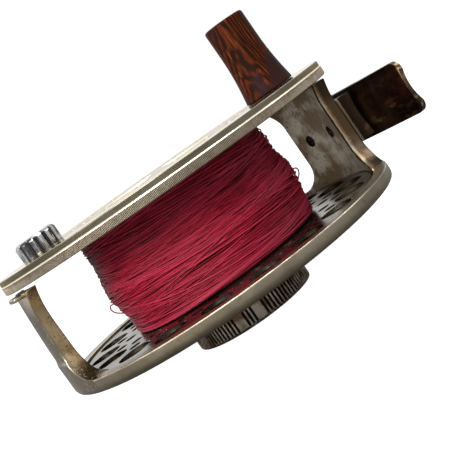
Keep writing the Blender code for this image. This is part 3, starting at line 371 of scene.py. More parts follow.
def new_tree(name, inputs):
    """A Geometry Nodes tree with named inputs after its shape, and all of them as sockets."""
    tree = bpy.data.node_groups.new(name, "GeometryNodeTree")
    tree.interface.new_socket("Shape", in_out="INPUT", socket_type="NodeSocketGeometry")
    for label, kind in inputs.items():
        tree.interface.new_socket(label, in_out="INPUT", socket_type="NodeSocket" + kind)
    tree.interface.new_socket("Shape", in_out="OUTPUT", socket_type="NodeSocketGeometry")
    nodes = Nodes(tree)
    start = nodes.node("NodeGroupInput").output.node
    return nodes, {socket.name: Socket(nodes, socket) for socket in start.outputs if socket.name}


def close_tree(nodes, made, finish):
    """End a tree in real geometry that has its material."""
    real = nodes.node("GeometryNodeRealizeInstances", None, (made,))
    covered = nodes.node("GeometryNodeSetMaterial", None, {"Geometry": real, "Material": finish})
    nodes.node("NodeGroupOutput", None, (covered,))
    return nodes.tree


def grown(piece, tree, values):
    """Run a tree on a piece with values for its named inputs, and keep the mesh it makes."""
    growth = piece.modifiers.new("Growth", "NODES")
    growth.node_group = tree
    for item in tree.interface.items_tree:
        if item.in_out == "INPUT" and item.name in values:
            growth[item.identifier] = values[item.name]
    return baked(piece)


def repeating_tree():
    """Turn copies of a shape about the reel's axis, as a dividing head does."""
    nodes, given = new_tree("dividing_head", {
        "Count": "Int", "Start": "Float", "Step": "Float", "Finish": "Material"})
    points = nodes.node("GeometryNodeMeshLine", {"mode": "OFFSET"},
                        {"Count": given["Count"], "Offset": (0, 0, 0)})
    number = nodes.node("GeometryNodeInputIndex")
    turn = given["Start"] + number * given["Step"]
    placed = nodes.node("GeometryNodeInstanceOnPoints", None, {
        "Points": points, "Instance": given["Shape"], "Rotation": nodes.joined(0, 0, turn)})
    return close_tree(nodes, placed, given["Finish"])


dividing_head = repeating_tree()


def repeated(piece, count, start=0.0, step=None):
    """Copies of a piece round the axis, evenly spaced unless a step is given."""
    values = {"Count": count, "Start": start, "Step": FULL_TURN / count if step is None else step}
    return grown(piece, dividing_head, values)


def drill(radius, place, low, high, chamfer=DRILL_CHAMFER):
    """A cutter for a hole with chamfered ends."""
    wide = radius + chamfer + DRILL_OVERRUN
    outline = [(0, high + DRILL_OVERRUN), (wide, high + DRILL_OVERRUN), (radius, high - chamfer),
               (radius, low + chamfer), (wide, low - DRILL_OVERRUN), (0, low - DRILL_OVERRUN)]
    return turned("drill", outline, DRILL_SIDES, place)


rim_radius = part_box("frame_cage")[1].y
rim_inner = rim_radius - RIM_WALL
under_side = []
for groove in PLATE_GROOVES:
    under_side = [(groove + GROOVE_HALF_WIDTH, PLATE_LOW), (groove, PLATE_LOW + GROOVE_DEPTH),
                  (groove - GROOVE_HALF_WIDTH, PLATE_LOW)] + under_side
plate_outline = rounded(
    [(ROD_HOLE, PLATE_HIGH), (rim_inner, PLATE_HIGH), (rim_inner, RIM_HIGH), (rim_radius, RIM_HIGH),
     (rim_radius, PLATE_LOW), *under_side, (ROD_HOLE, PLATE_LOW)],
    [0, PLATE_FILLET, RIM_INNER_ROUND, RIM_TOP_ROUND, RIM_BOTTOM_ROUND] + [0] * len(under_side) + [0], 6)
cage = turned("cage_back", plate_outline, CAGE_SIDES)
screw_hole = drill(SCREW_HOLE, (SPINDLE_SCREW_RING, 0), PLATE_LOW, PLATE_HIGH)
cage = cut(cage, repeated(screw_hole, SPINDLE_SCREWS))
# The rim's top edges get a painted highlight, and painted shade darkens the cage towards its underside.
cage_alloy = patinated_alloy(
    "cage_alloy", CAGE_CLEAN, CAGE_WORN, CAGE_STAIN_AND_SHADE, 0.34, ((rim_radius, RIM_HIGH), (rim_inner, RIM_HIGH)),
    shade_fade=(PLATE_LOW, RIM_HIGH - SHADE_BELOW_RIM))
dress(cage, cage_alloy, "frame", "frame_alloy", "frame_cage")


# Posts
# Both posts are milled with the rim from the same bar.  Grease has stained the wide one brown
# inside; its side face carries painted shade, and its inner corner a painted shadow line and a
# painted golden highlight.  The narrow one has lost its lacquer and shows a brassy skin with rust
# spots, and a painted cream highlight along its edges.

POST_TOP = 36.6 * MM
POST_OUTER = 45.2 * MM
POST_INNER = 41.6 * MM
POST_STEPS = 44
POST_COLUMNS = 16
EDGE_ROUND = 0.35 * MM
FOOT_POST_SIZES = (11.5 * MM, 3.6 * MM, 6.0 * MM, 8.0 * MM, 6.5 * MM)
SMALL_POST_SIZES = (5.8 * MM, 3.8 * MM, 9.0 * MM, 8.5 * MM, 8.0 * MM)
SMALL_POST_TURN = radians(176.4)
SMALL_POST_LEAN = 1.2 * MM
SMALL_POST_FLUSH = 17.2 * MM
SMALL_POST_BLEND = 1.8 * MM
SMALL_POST_FLUSH_RADIUS = 45.53 * MM
FOOT_CENTRE_HEIGHT = 24.4 * MM
FOOT_SCREW_TURN = radians(7.8)
FOOT_SCREW_HOLE = 1.6 * MM
FOOT_SCREW_FACE = 41.9 * MM
FOOT_SCREW_REACH = 6.0 * MM
FOOT_SCREW_SINK = 1.6 * MM
LIP_REACH = 46.0 * MM
LIP_ROOT = 43.4 * MM
LIP_LOW = 35.5 * MM
LIP_HIGH = 36.5 * MM
LIP_HALF_WIDTH = 4.4 * MM
LIP_STEPS = 8
LIP_ROUND = 0.3 * MM

GREASY_BARE = (0.47, 0.42, 0.34)
GREASY_BROWN = (0.245, 0.17, 0.1)
GREASY_DARK = (0.03, 0.018, 0.01)
BRASSY_BARE = (0.46, 0.355, 0.215)
BRASSY_BROWN = (0.2, 0.115, 0.055)
BRASSY_DARK = (0.05, 0.022, 0.01)
SIDE_SHADE = (0.085, 0.05, 0.025)
GOLD_HIGHLIGHT = (0.7, 0.55, 0.36)
SEAM_SHADOW = (0.012, 0.008, 0.005)
RIM_GREY = (0.2, 0.175, 0.13)
BRASS_EDGE_HIGHLIGHT = (0.95, 0.84, 0.62)
GRIME_RELIEF = 0.04 * MM
SEAM_ASIDE = (0.62 * MM, 0.3 * MM)
SEAM_DEPTH = (0.36 * MM, 0.2 * MM)
SEAM_SWING = 0.4 * MM
HIGHLIGHT_ASIDE = (1.0 * MM, 0.2 * MM)
HIGHLIGHT_START = (0.3 * MM, 0.45 * MM)
HIGHLIGHT_END = (0.9 * MM, 0.6 * MM)
HIGHLIGHT_SWING = 0.8 * MM
SIDE_DEPTH = (0.8 * MM, 1.5 * MM)
SIDE_SWING = 1.2 * MM
RIM_GREY_DEPTH = (-1.3 * MM, -0.5 * MM)
RIM_GREY_SWING = 0.6 * MM


def lofted(name, sections):
    """Skin a row of closed sections, each with the same number of points, and cap both ends."""
    work = bmesh.new()
    rings = [[work.verts.new(point) for point in section] for section in sections]
    for ring, following in zip(rings, rings[1:]):
        for j in range(len(ring)):
            k = (j + 1) % len(ring)
            work.faces.new((ring[j], ring[k], following[k], following[j]))
    work.faces.new(rings[0])
    work.faces.new(rings[-1])
    return shape(name, work)


def bevelled(piece, width, segments=3, angle=SHARP_ANGLE):
    """Round a piece's sharp edges."""
    edge = piece.modifiers.new("Rounding", "BEVEL")
    edge.width = width
    edge.segments = segments
    edge.limit_method = "ANGLE"
    edge.angle_limit = angle
    return baked(piece)


def post_half_width(height, waist, top_flare, top_rise, base_flare, base_rise):
    """Half width of a waisted post at a height: flared to the top, filleted to the rim."""
    width = waist
    if height > POST_TOP - top_rise:
        width += top_flare * ((height - POST_TOP + top_rise) / top_rise) ** 2
    above = min(max((height - RIM_HIGH) / base_rise, 0), 1)
    width += base_flare * (1 - sqrt(max(1 - (1 - above) ** 2, 0)))
    return width


def make_post(name, turn, sizes, radial_share, outer_at):
    """Skin a post from its base in the rim to its top, following the rim's curve."""
    base = PLATE_HIGH - EDGE_ROUND
    sections = []
    for i in range(POST_STEPS + 1):
        height = base + (POST_TOP - base) * i / POST_STEPS
        half = post_half_width(height, *sizes)
        section = []
        for radius, across in ((POST_INNER, 1), (outer_at(height), -1)):
            width = half * (1 + radial_share * (radius / POST_INNER - 1))
            for j in range(POST_COLUMNS + 1):
                side = across * (2 * j / POST_COLUMNS - 1) * width
                angle = turn + atan2(side, sqrt(radius ** 2 - side ** 2))
                section.append((radius * cos(angle), radius * sin(angle), height))
        sections.append(section)
    return bevelled(lofted(name, sections), EDGE_ROUND)


def small_post_outer(height):
    """Outer radius of the narrow post: flush with the rim below, then leaning in to its top."""
    leaning = POST_OUTER - SMALL_POST_LEAN * max(0, (height - RIM_HIGH) / (POST_TOP - RIM_HIGH)) ** 2
    share = min(max((height - SMALL_POST_FLUSH) / SMALL_POST_BLEND, 0), 1)
    return SMALL_POST_FLUSH_RADIUS + (leaning - SMALL_POST_FLUSH_RADIUS) * share ** 2 * (3 - 2 * share)


def outwards(piece, turn, radius, height):
    """Lay an upright piece made at the origin so that its top points at the axis."""
    place = Matrix.Translation((radius * cos(turn), radius * sin(turn), height))
    piece.data.transform(place @ Matrix.Rotation(turn, 4, "Z") @ Matrix.Rotation(-QUARTER_TURN, 4, "Y"))
    return piece


def grimy_alloy(name, bare, brown, dark, roughness, blotch, spots):
    """Alloy whose lacquer has gone: bare skin, brown grease in broad blotches, and dark spots."""
    finish, nodes = new_finish(name)
    place = nodes.place()
    broad = nodes.noise(place, 130.0, 5.0, 0.6)
    streaks = nodes.noise(nodes.stretched(place, (1.0, 1.0, 0.22)), 900.0, 4.0, 0.6)
    specks = nodes.noise(place, 1300.0, 2.0, 0.5)
    colour = nodes.mix(nodes.step(broad, blotch, blotch + 0.16), bare, brown)
    colour = nodes.mix(nodes.step(streaks, 0.5, 0.72) * 0.5, colour, brown)
    spotted = nodes.step(specks, spots, spots + 0.05)
    colour = nodes.mix(spotted * 0.85, colour, dark)
    rough = roughness + nodes.step(broad, blotch, blotch + 0.2) * 0.14 + (streaks - 0.5) * 0.2
    relief = streaks * 0.5 + specks * 0.2 - spotted * 0.6
    return set_shader(finish, Base_Color=colour, Metallic=1.0 - spotted * 0.7, Roughness=rough,
                      Normal=bump(nodes, relief, 0.4, GRIME_RELIEF))


def reopened(finish):
    """A finish's node helper again, with what feeds its colour and its roughness."""
    nodes = Nodes(finish.node_tree)
    inputs = finish.node_tree.nodes["Principled BSDF"].inputs
    colour, rough = (Socket(nodes, inputs[name].links[0].from_socket) for name in ("Base Color", "Roughness"))
    return nodes, colour, rough


def beside_edge(nodes, place, sizes):
    """How far a position lies from the near edge of a waisted post, as post_half_width shapes it."""
    waist, top_flare, top_rise, base_flare, base_rise = sizes
    y, z = nodes.split(place)[1:]
    top = nodes.maths("MAXIMUM", z - (POST_TOP - top_rise), 0.0) / top_rise
    above = nodes.maths("MINIMUM", (z - RIM_HIGH) / base_rise, 1.0)
    below = 1.0 - nodes.maths("MAXIMUM", above, 0.0)
    fall = 1.0 - nodes.maths("SQRT", nodes.maths("MAXIMUM", 1.0 - below * below, 0.0))
    return y + top * top * top_flare + fall * base_flare + waist


def post_side_shade_and_highlight(finish):
    """Paint shade on the wide post's side face, and a painted shadow line and a painted golden highlight
    along its inner corner.
    """
    nodes, colour, _ = reopened(finish)
    place = nodes.place()
    depth = nodes.radius(place) - POST_INNER
    aside = beside_edge(nodes, place, FOOT_POST_SIZES)
    cloud = nodes.noise(place, 500.0, 3.0)
    side = nodes.ragged(depth, cloud, SIDE_SWING, *SIDE_DEPTH)
    # Painted shade on the post's side face.
    colour = nodes.mix(side * 0.85, colour, SIDE_SHADE)
    # A painted golden highlight near the inner corner.
    gleam = nodes.ragged(depth, cloud, HIGHLIGHT_SWING, *HIGHLIGHT_START)
    gleam = gleam * nodes.ragged(depth, cloud, HIGHLIGHT_SWING, *HIGHLIGHT_END)
    colour = nodes.mix(gleam * nodes.step(aside, *HIGHLIGHT_ASIDE) * 0.5, colour, GOLD_HIGHLIGHT)
    # A painted shadow line along the inner corner.
    darkening = nodes.ragged(aside, cloud, SEAM_SWING, *SEAM_ASIDE) * nodes.step(depth, *SEAM_DEPTH)
    set_shader(finish, Base_Color=nodes.mix(darkening * 0.9, colour, SEAM_SHADOW))


def match_rim(finish):
    """Colour the narrow post's outer side like the rim that it was cut from, and paint a cream highlight
    along its edges.
    """
    nodes, colour, _ = reopened(finish)
    place = nodes.place()
    cloud = nodes.noise(place, 250.0, 3.0)
    outer = nodes.ragged(nodes.radius(place) - POST_OUTER, cloud, RIM_GREY_SWING, *RIM_GREY_DEPTH)
    # A painted cream highlight along the post's edges.
    wear_and_highlight = nodes.ragged(nodes.pointiness(), cloud, 0.1, 0.54, 0.6)
    colour = nodes.mix(outer * 0.85, colour, RIM_GREY)
    set_shader(finish, Base_Color=nodes.mix(wear_and_highlight * 0.85, colour, BRASS_EDGE_HIGHLIGHT))


foot_post = make_post("foot_post", 0, FOOT_POST_SIZES, 1, lambda height: POST_OUTER)
foot_hole_outline = [(0, FOOT_SCREW_REACH), (FOOT_SCREW_HOLE, FOOT_SCREW_REACH),
                     (FOOT_SCREW_HOLE, -FOOT_SCREW_SINK), (0, -FOOT_SCREW_SINK)]
for turn in (-FOOT_SCREW_TURN, FOOT_SCREW_TURN):
    hole = turned("foot_screw_hole", foot_hole_outline, DRILL_SIDES)
    foot_post = cut(foot_post, outwards(hole, turn, FOOT_SCREW_FACE, FOOT_CENTRE_HEIGHT))
greasy_shaded_alloy = grimy_alloy("greasy_shaded_alloy", GREASY_BARE, GREASY_BROWN, GREASY_DARK, 0.38, 0.37, 0.64)
post_side_shade_and_highlight(greasy_shaded_alloy)
dress(foot_post, greasy_shaded_alloy, "frame", "frame_alloy")

small_post = make_post("small_post", SMALL_POST_TURN, SMALL_POST_SIZES, 0, small_post_outer)
brassy_alloy = grimy_alloy("brassy_alloy", BRASSY_BARE, BRASSY_BROWN, BRASSY_DARK, 0.22, 0.45, 0.61)
match_rim(brassy_alloy)
dress(small_post, brassy_alloy, "frame", "frame_alloy")

lip_sections = []
for height in (LIP_LOW, LIP_HIGH):
    section = []
    for radius, across in ((LIP_ROOT, 1), (LIP_REACH, -1)):
        for j in range(LIP_STEPS + 1):
            angle = SMALL_POST_TURN + across * (2 * j / LIP_STEPS - 1) * LIP_HALF_WIDTH / radius
            section.append((radius * cos(angle), radius * sin(angle), height))
    lip_sections.append(section)
post_lip = bevelled(lofted("small_post_lip", lip_sections), LIP_ROUND)
dress(post_lip, cage_alloy, "frame", "frame_alloy")


# Reel foot
# The foot is cast in bronze and blackened: a shallow trough with a curved saddle under it, held
# by two screws from inside the wide post.  Painted golden highlights run along its edges, painted
# golden reflections streak its faces, and painted shade darkens it round the saddle.

FOOT_INNER = 46.3 * MM
FOOT_THICKNESS = 2.4 * MM
FOOT_TIP_SHARE = 0.45
FOOT_LONG_WING = 34.0 * MM
FOOT_SHORT_WING = 27.0 * MM
FOOT_HALF_WIDTH = 6.9 * MM
FOOT_TIP_HALF_WIDTH = 6.7 * MM
FOOT_TIP_RISE = 2.0 * MM
FOOT_SAG = 0.8 * MM
FOOT_CORNER = 2.4 * MM
FOOT_ROUND = 0.45 * MM
FOOT_COLUMNS = 72
FOOT_ROWS = 18
SADDLE_INNER = 45.25 * MM
SADDLE_HALF_HEIGHT = 6.0 * MM
SADDLE_END_HALF_LENGTH = 12.3 * MM
SADDLE_BULGE = 0.2 * MM
SADDLE_FLARE = 2.2 * MM
SADDLE_ROOT = 47.6 * MM
SADDLE_ROUND = 0.3 * MM
SADDLE_ROWS = 32
SADDLE_COLUMNS = 40
SADDLE_FILLET_STEPS = 8
SCREW_HEAD = 1.3 * MM
SCREW_HEAD_THICKNESS = 1.0 * MM
SCREW_HEAD_ROUND = 0.15 * MM
SCREW_SLOT_HALF_WIDTH = 0.16 * MM
SCREW_SLOT_DEPTH = 0.35 * MM
FOOT_SCREW_SLOT_TURN = radians(35)
FOOT_SCREW_SLOT_STEP = radians(70)

BRONZE_BLACK = (0.04, 0.024, 0.014)
BRONZE_BROWN = (0.16, 0.1, 0.055)
BRONZE_SHEEN = (0.62, 0.45, 0.26)
BRONZE_EDGE_HIGHLIGHT = (0.62, 0.47, 0.27)
BRONZE_ROOT_SHADE = (0.018, 0.011, 0.007)
BRONZE_OLIVE = (0.3, 0.24, 0.165)
SHEEN_ABOVE_CENTRE = (1.0 * MM, -4.0 * MM)
SHEEN_SWING = 10.0 * MM
ROOT_ASIDE = (17.5 * MM, 14.5 * MM)
ROOT_SWING = 3.0 * MM
OLIVE_RADIUS = (46.0 * MM, 45.7 * MM)
OLIVE_SWING = 0.6 * MM
BRONZE_RELIEF = 0.12 * MM
RUST_DARK = (0.012, 0.01, 0.009)
RUST_BROWN = (0.03, 0.013, 0.006)
RUST_RELIEF = 0.03 * MM


def foot_half_width(share, wing):
    """Half width of the foot at a share of a wing's length, rounded at the tip's corners."""
    width = FOOT_HALF_WIDTH + (FOOT_TIP_HALF_WIDTH - FOOT_HALF_WIDTH) * share
    past = share * wing - (wing - FOOT_CORNER)
    if past > 0:
        width -= FOOT_CORNER - sqrt(max(FOOT_CORNER ** 2 - past ** 2, 0))
    return width


def make_foot():
    """The trough as a closed skin: two rows of points at each station along its length."""
    sections = []
    for i in range(-FOOT_COLUMNS, FOOT_COLUMNS + 1):
        share = sin(QUARTER_TURN * i / FOOT_COLUMNS)
        wing = FOOT_SHORT_WING if share > 0 else FOOT_LONG_WING
        half = foot_half_width(abs(share), wing)
        thick = FOOT_THICKNESS * (1 - (1 - FOOT_TIP_SHARE) * share ** 2)
        section = []
        for side, lift in ((1, 0), (-1, thick)):
            for j in range(FOOT_ROWS + 1):
                across = side * (2 * j / FOOT_ROWS - 1)
                x = FOOT_INNER + FOOT_TIP_RISE * share ** 2 + FOOT_SAG * across ** 2
                section.append((x + lift, share * wing, FOOT_CENTRE_HEIGHT + half * across))
        sections.append(section)
    return bevelled(lofted("reel_foot_plate", sections), FOOT_ROUND, 4)


def make_saddle():
    """The block between foot and post: hollow to fit the post, and filleted out under the trough."""
    sections = []
    for i in range(SADDLE_ROWS + 1):
        rise = QUARTER_TURN * (2 * i / SADDLE_ROWS - 1)
        half_length = SADDLE_END_HALF_LENGTH + SADDLE_BULGE * cos(rise)
        sides = [(2 * j / SADDLE_COLUMNS - 1) * half_length for j in range(SADDLE_COLUMNS + 1)]
        plan = [(sqrt(SADDLE_INNER ** 2 - side ** 2), side) for side in sides]
        end_x = plan[-1][0]
        fillet = []
        for j in range(1, SADDLE_FILLET_STEPS + 1):
            turn = QUARTER_TURN * j / SADDLE_FILLET_STEPS
            out = (SADDLE_ROOT - end_x) * sin(turn)
            fillet.append((end_x + out, half_length + SADDLE_FLARE * (1 - cos(turn))))
        plan += fillet + [(x, -side) for x, side in reversed(fillet)]
        height = FOOT_CENTRE_HEIGHT + sin(rise) * SADDLE_HALF_HEIGHT
        sections.append([(x, side, height) for x, side in plan])
    return bevelled(lofted("foot_saddle", sections), SADDLE_ROUND)


def blackened_bronze():
    """Dark glossy lacquer in black and brown patches, with painted golden reflections in streaks that are
    stronger low on the foot, painted highlights along its edges, painted shade round the saddle and olive
    where the saddle meets the post.
    """
    finish, nodes = new_finish("blackened_bronze")
    place = nodes.place()
    y, z = nodes.split(place)[1:]
    broad = nodes.noise(place, 85.0, 4.0, 0.6)
    fine = nodes.noise(place, 700.0, 4.0, 0.6)
    gleam = nodes.noise(nodes.stretched(place, (1.0, 0.25, 1.0)), 320.0, 5.0, 0.65)
    wear_and_highlight = nodes.ragged(nodes.pointiness(), fine, 0.12, 0.56, 0.66)
    lower = nodes.ragged(z - FOOT_CENTRE_HEIGHT, broad, SHEEN_SWING, *SHEEN_ABOVE_CENTRE)
    root = nodes.ragged(nodes.maths("ABSOLUTE", y), broad, ROOT_SWING, *ROOT_ASIDE)
    olive = nodes.ragged(nodes.radius(place), fine, OLIVE_SWING, *OLIVE_RADIUS)
    colour = nodes.mix(nodes.step(broad, 0.38, 0.62), BRONZE_BLACK, BRONZE_BROWN)
    # Painted golden reflections in streaks, stronger low on the foot.
    colour = nodes.mix(nodes.step(gleam, 0.5, 0.66) * (lower * 0.75 + 0.15), colour, BRONZE_SHEEN)
    # Painted highlights along the edges.
    colour = nodes.mix(wear_and_highlight * 0.8, colour, BRONZE_EDGE_HIGHLIGHT)
    # Painted shade round the saddle, where the foot meets the post.
    colour = nodes.mix(root * 0.9, colour, BRONZE_ROOT_SHADE)
    colour = nodes.mix(olive * 0.85, colour, BRONZE_OLIVE)
    rough = 0.3 + (fine - 0.5) * 0.16 + nodes.step(gleam, 0.6, 0.74) * 0.1 + root * 0.15
    return set_shader(finish, Base_Color=colour, Metallic=1.0, Roughness=rough,
                      Coat_Weight=0.15 - root * 0.15, Coat_Roughness=0.15,
                      Normal=bump(nodes, broad * 0.8 + fine * 0.25, 0.3, BRONZE_RELIEF))


def slotted_head(name, radius, thickness, top):
    """A round screw head with a sawn slot, upright at the origin."""
    head = turned(name, rounded([(0, top), (radius, top), (radius, top - thickness), (0, top - thickness)],
                                [0, SCREW_HEAD_ROUND, 0, 0]), DRILL_SIDES)
    work = bmesh.new()
    size = Matrix.Diagonal((3 * radius, 2 * SCREW_SLOT_HALF_WIDTH, 2 * SCREW_SLOT_DEPTH, 1))
    bmesh.ops.create_cube(work, size=1, matrix=Matrix.Translation((0, 0, top)) @ size)
    return cut(head, shape("slot", work))


def rusted_steel():
    """Blued steel that has gone brown and rough with rust."""
    finish, nodes = new_finish("rusty_steel")
    fine = nodes.noise(nodes.place(), 1800.0, 4.0, 0.6)
    colour = nodes.mix(nodes.step(fine, 0.42, 0.62), RUST_DARK, RUST_BROWN)
    return set_shader(finish, Base_Color=colour, Metallic=0.3, Roughness=0.5 + fine * 0.3,
                      Normal=bump(nodes, fine, 0.4, RUST_RELIEF))


bronze = blackened_bronze()
dress(make_foot(), bronze, "frame", "foot_bronze", "reel_foot")
dress(make_saddle(), bronze, "frame", "foot_bronze")

rusty_steel = rusted_steel()
for i, turn in enumerate((-FOOT_SCREW_TURN, FOOT_SCREW_TURN)):
    head = slotted_head(f"foot_screw_head_{i + 1}", SCREW_HEAD, SCREW_HEAD_THICKNESS, 0)
    head.data.transform(Matrix.Rotation(FOOT_SCREW_SLOT_TURN + FOOT_SCREW_SLOT_STEP * i, 4, "Z"))
    outwards(head, turn, FOOT_SCREW_FACE, FOOT_CENTRE_HEIGHT)
    dress(head, rusty_steel, "frame", "dark_steel", f"foot_screw_{i + 1}")


# Drag knob
# The knob under the back plate is turned from the same alloy.  Its edge is slotted with a thin
# saw in four long and four short groups, with plain lands between, and painted shade darkens the
# slots.

KNOB_RADIUS = 15.8 * MM
KNOB_THICKNESS = 7.0 * MM
KNOB_FLOOR = 2.0 * MM
KNOB_BEVEL = 0.7 * MM
KNOB_STEP = 10.5 * MM
KNOB_STEP_DEPTH = 0.5 * MM
KNOB_STEP_ROUND = 0.2 * MM
KNOB_SIDES = 192
SLOT_PLACES = 96
SHORT_GROUP = 3
LONG_GROUP = 17
GROUPS = 4
SLOT_HALF_WIDTH = 0.32 * MM
SLOT_DEPTH = 0.62 * MM
SLOT_OVERRUN = 1.0 * MM
SHORT_GROUP_TURN = radians(-117.2)

KNOB_PALE = (0.56, 0.48, 0.39)
KNOB_BROWN = (0.34, 0.27, 0.2)
KNOB_RUST = (0.14, 0.06, 0.018)
SLOT_SHADE = (0.022, 0.015, 0.01)
SLOT_SHADE_DEPTH = (-0.12 * MM, -0.3 * MM)
SLOT_SHADE_SWING = 0.3 * MM
SLOT_SHADE_HEIGHT = (0.4 * MM, 0.9 * MM)
RUST_HEIGHT = 3.0 * MM
RUST_RISE = 0.07 / MM
KNOB_RELIEF = 0.03 * MM


def slot_cutter():
    """A wedge as deep and wide as one slot, at turn zero."""
    work = bmesh.new()
    inner = KNOB_RADIUS - SLOT_DEPTH
    outer = KNOB_RADIUS + SLOT_DEPTH
    corners = [(inner, -SLOT_HALF_WIDTH / 2), (outer, -SLOT_HALF_WIDTH * 1.5),
               (outer, SLOT_HALF_WIDTH * 1.5), (inner, SLOT_HALF_WIDTH / 2)]
    low, high = ([work.verts.new((x, y, height)) for x, y in corners]
                 for height in (-SLOT_OVERRUN, KNOB_THICKNESS + SLOT_OVERRUN))
    for j in range(4):
        k = (j + 1) % 4
        work.faces.new((low[j], low[k], high[k], high[j]))
    work.faces.new(low)
    work.faces.new(high)
    return shape("slot_cutter", work)


def rusty_shaded_knob():
    """Grey alloy on the ribs with brown patches, painted shade in the slots, rust under the plate."""
    finish, nodes = new_finish("knob_alloy")
    place = nodes.place()
    height = nodes.height(place)
    fine = nodes.noise(place, 900.0, 5.0, 0.6)
    broad = nodes.noise(place, 260.0, 3.0, 0.6)
    # Painted shade in the slots.
    inside = nodes.ragged(nodes.radius(place) - KNOB_RADIUS, fine, SLOT_SHADE_SWING, *SLOT_SHADE_DEPTH)
    slotted = inside * nodes.step(height, *SLOT_SHADE_HEIGHT)
    rust = nodes.step(broad + (height - RUST_HEIGHT) * RUST_RISE, 0.46, 0.64)
    colour = nodes.mix(nodes.step(broad, 0.4, 0.65), KNOB_PALE, KNOB_BROWN)
    colour = nodes.mix(rust * 0.8, colour, KNOB_RUST)
    colour = nodes.mix(slotted, colour, SLOT_SHADE)
    rough = 0.38 + (fine - 0.5) * 0.25 + inside * 0.3
    return set_shader(finish, Base_Color=colour, Metallic=1.0 - slotted * 0.8, Roughness=rough,
                      Normal=bump(nodes, fine, 0.35, KNOB_RELIEF))


knob_outline = rounded(
    [(0, KNOB_FLOOR), (ROD_HOLE, KNOB_FLOOR), (ROD_HOLE, KNOB_THICKNESS), (KNOB_RADIUS, KNOB_THICKNESS),
     (KNOB_RADIUS, 0), (KNOB_STEP, 0), (KNOB_STEP - KNOB_STEP_DEPTH, KNOB_STEP_DEPTH), (0, KNOB_STEP_DEPTH)],
    [0, 0, KNOB_STEP_ROUND, KNOB_BEVEL, KNOB_BEVEL, KNOB_STEP_ROUND, KNOB_STEP_ROUND, 0], 5)
drag_knob = turned("slotted_drag_knob", knob_outline, KNOB_SIDES)
slot_step = FULL_TURN / SLOT_PLACES
long_group_turn = SHORT_GROUP_TURN + FULL_TURN / (2 * GROUPS)
for count, middle in ((SHORT_GROUP, SHORT_GROUP_TURN), (LONG_GROUP, long_group_turn)):
    group = repeated(slot_cutter(), count, middle - slot_step * (count - 1) / 2, slot_step)
    drag_knob = cut(drag_knob, repeated(group, GROUPS))
dress(drag_knob, rusty_shaded_knob(), "knob", "knob_alloy", "drag_knob")


# Spool
# The crank plate, the drum and the drilled inner flange are turned from alloy and polished.  The
# plate's edge has a band of fine straight knurling under a small ledge, and a painted highlight
# along the ledge makes a thin bright line.

FACE_UNDER = 39.3 * MM
FACE_TOP = 41.2 * MM
SPOOL_RIM_LOW = 37.6 * MM
BAND_HIGH = 39.65 * MM
BAND_STEP = 0.14 * MM
LEDGE = 0.16 * MM
LEDGE_ROUND = 0.08 * MM
RIM_WALL_THIN = 1.8 * MM
RIM_FOOT_ROUND = 0.1 * MM
RIM_INSIDE_ROUND = 0.2 * MM
FACE_FILLET = 0.3 * MM
TOP_ROUND = 0.2 * MM
DISH_TOP = 39.2 * MM
DISH_LOW = 37.8 * MM
DISH_RADIUS = 13.2 * MM
DISH_SLOPE_RADIUS = 15.2 * MM
DISH_FILLET = 0.5 * MM
DISH_EDGE_ROUND = 0.4 * MM
DISH_UNDER_ROUND = 0.2 * MM
STEM_HOLE = 2.3 * MM
FACE_SIDES = 240
FACE_HOLES = 16
FACE_HOLE = 1.5 * MM
FACE_HOLE_RING = 24.0 * MM
FACE_SCREWS = 4
FACE_SCREW_RING = 13.6 * MM
COUNTERSINK = 0.5 * MM
HANDLE_TURN = radians(-21.0)
HANDLE_ARM = 32.8 * MM
AXLE_HOLE = 2.1 * MM
KNURLS = 900
KNURL_HALF_SHARE = 0.42
KNURL_CROWN_SHARE = 0.35
KNURL_TIP = 0.13 * MM
KNURL_ROOT = 0.06 * MM
KNURL_GAP = 0.08 * MM
KNURL_RUN_OUT = 0.2 * MM
KNURL_LOW_SHARE = 0.2

FACE_CLEAN = (0.165, 0.142, 0.1)
FACE_WORN = (0.215, 0.19, 0.142)
FACE_STAINED = (0.09, 0.074, 0.05)
LEDGE_REACH = 0.28 * MM
PAINTED_TOP_SHEEN = (0.46, 0.41, 0.32)
POLISHED_RING = (0.72, 0.68, 0.6)
POLISHED_SLOPE = (0.95, 0.88, 0.72)
CREAM_SHEEN = (1.0, 0.9, 0.72)
POLISH_BELOW_TOP = (-0.06 * MM, -0.01 * MM)
POLISH_RING_RADIUS = (30.0 * MM, 37.0 * MM)
SLOPE_OUTER_FADE = 0.1 * MM
SLOPE_INNER_FADE = 0.3 * MM
KNURL_PALE = (0.52, 0.44, 0.35)
KNURL_BROWN = (0.38, 0.31, 0.235)
KNURL_SHADE = (0.07, 0.05, 0.035)
KNURL_SHADE_DEPTH = (0.09 * MM, -0.01 * MM)
KNURL_SHADE_SWING = 0.1 * MM


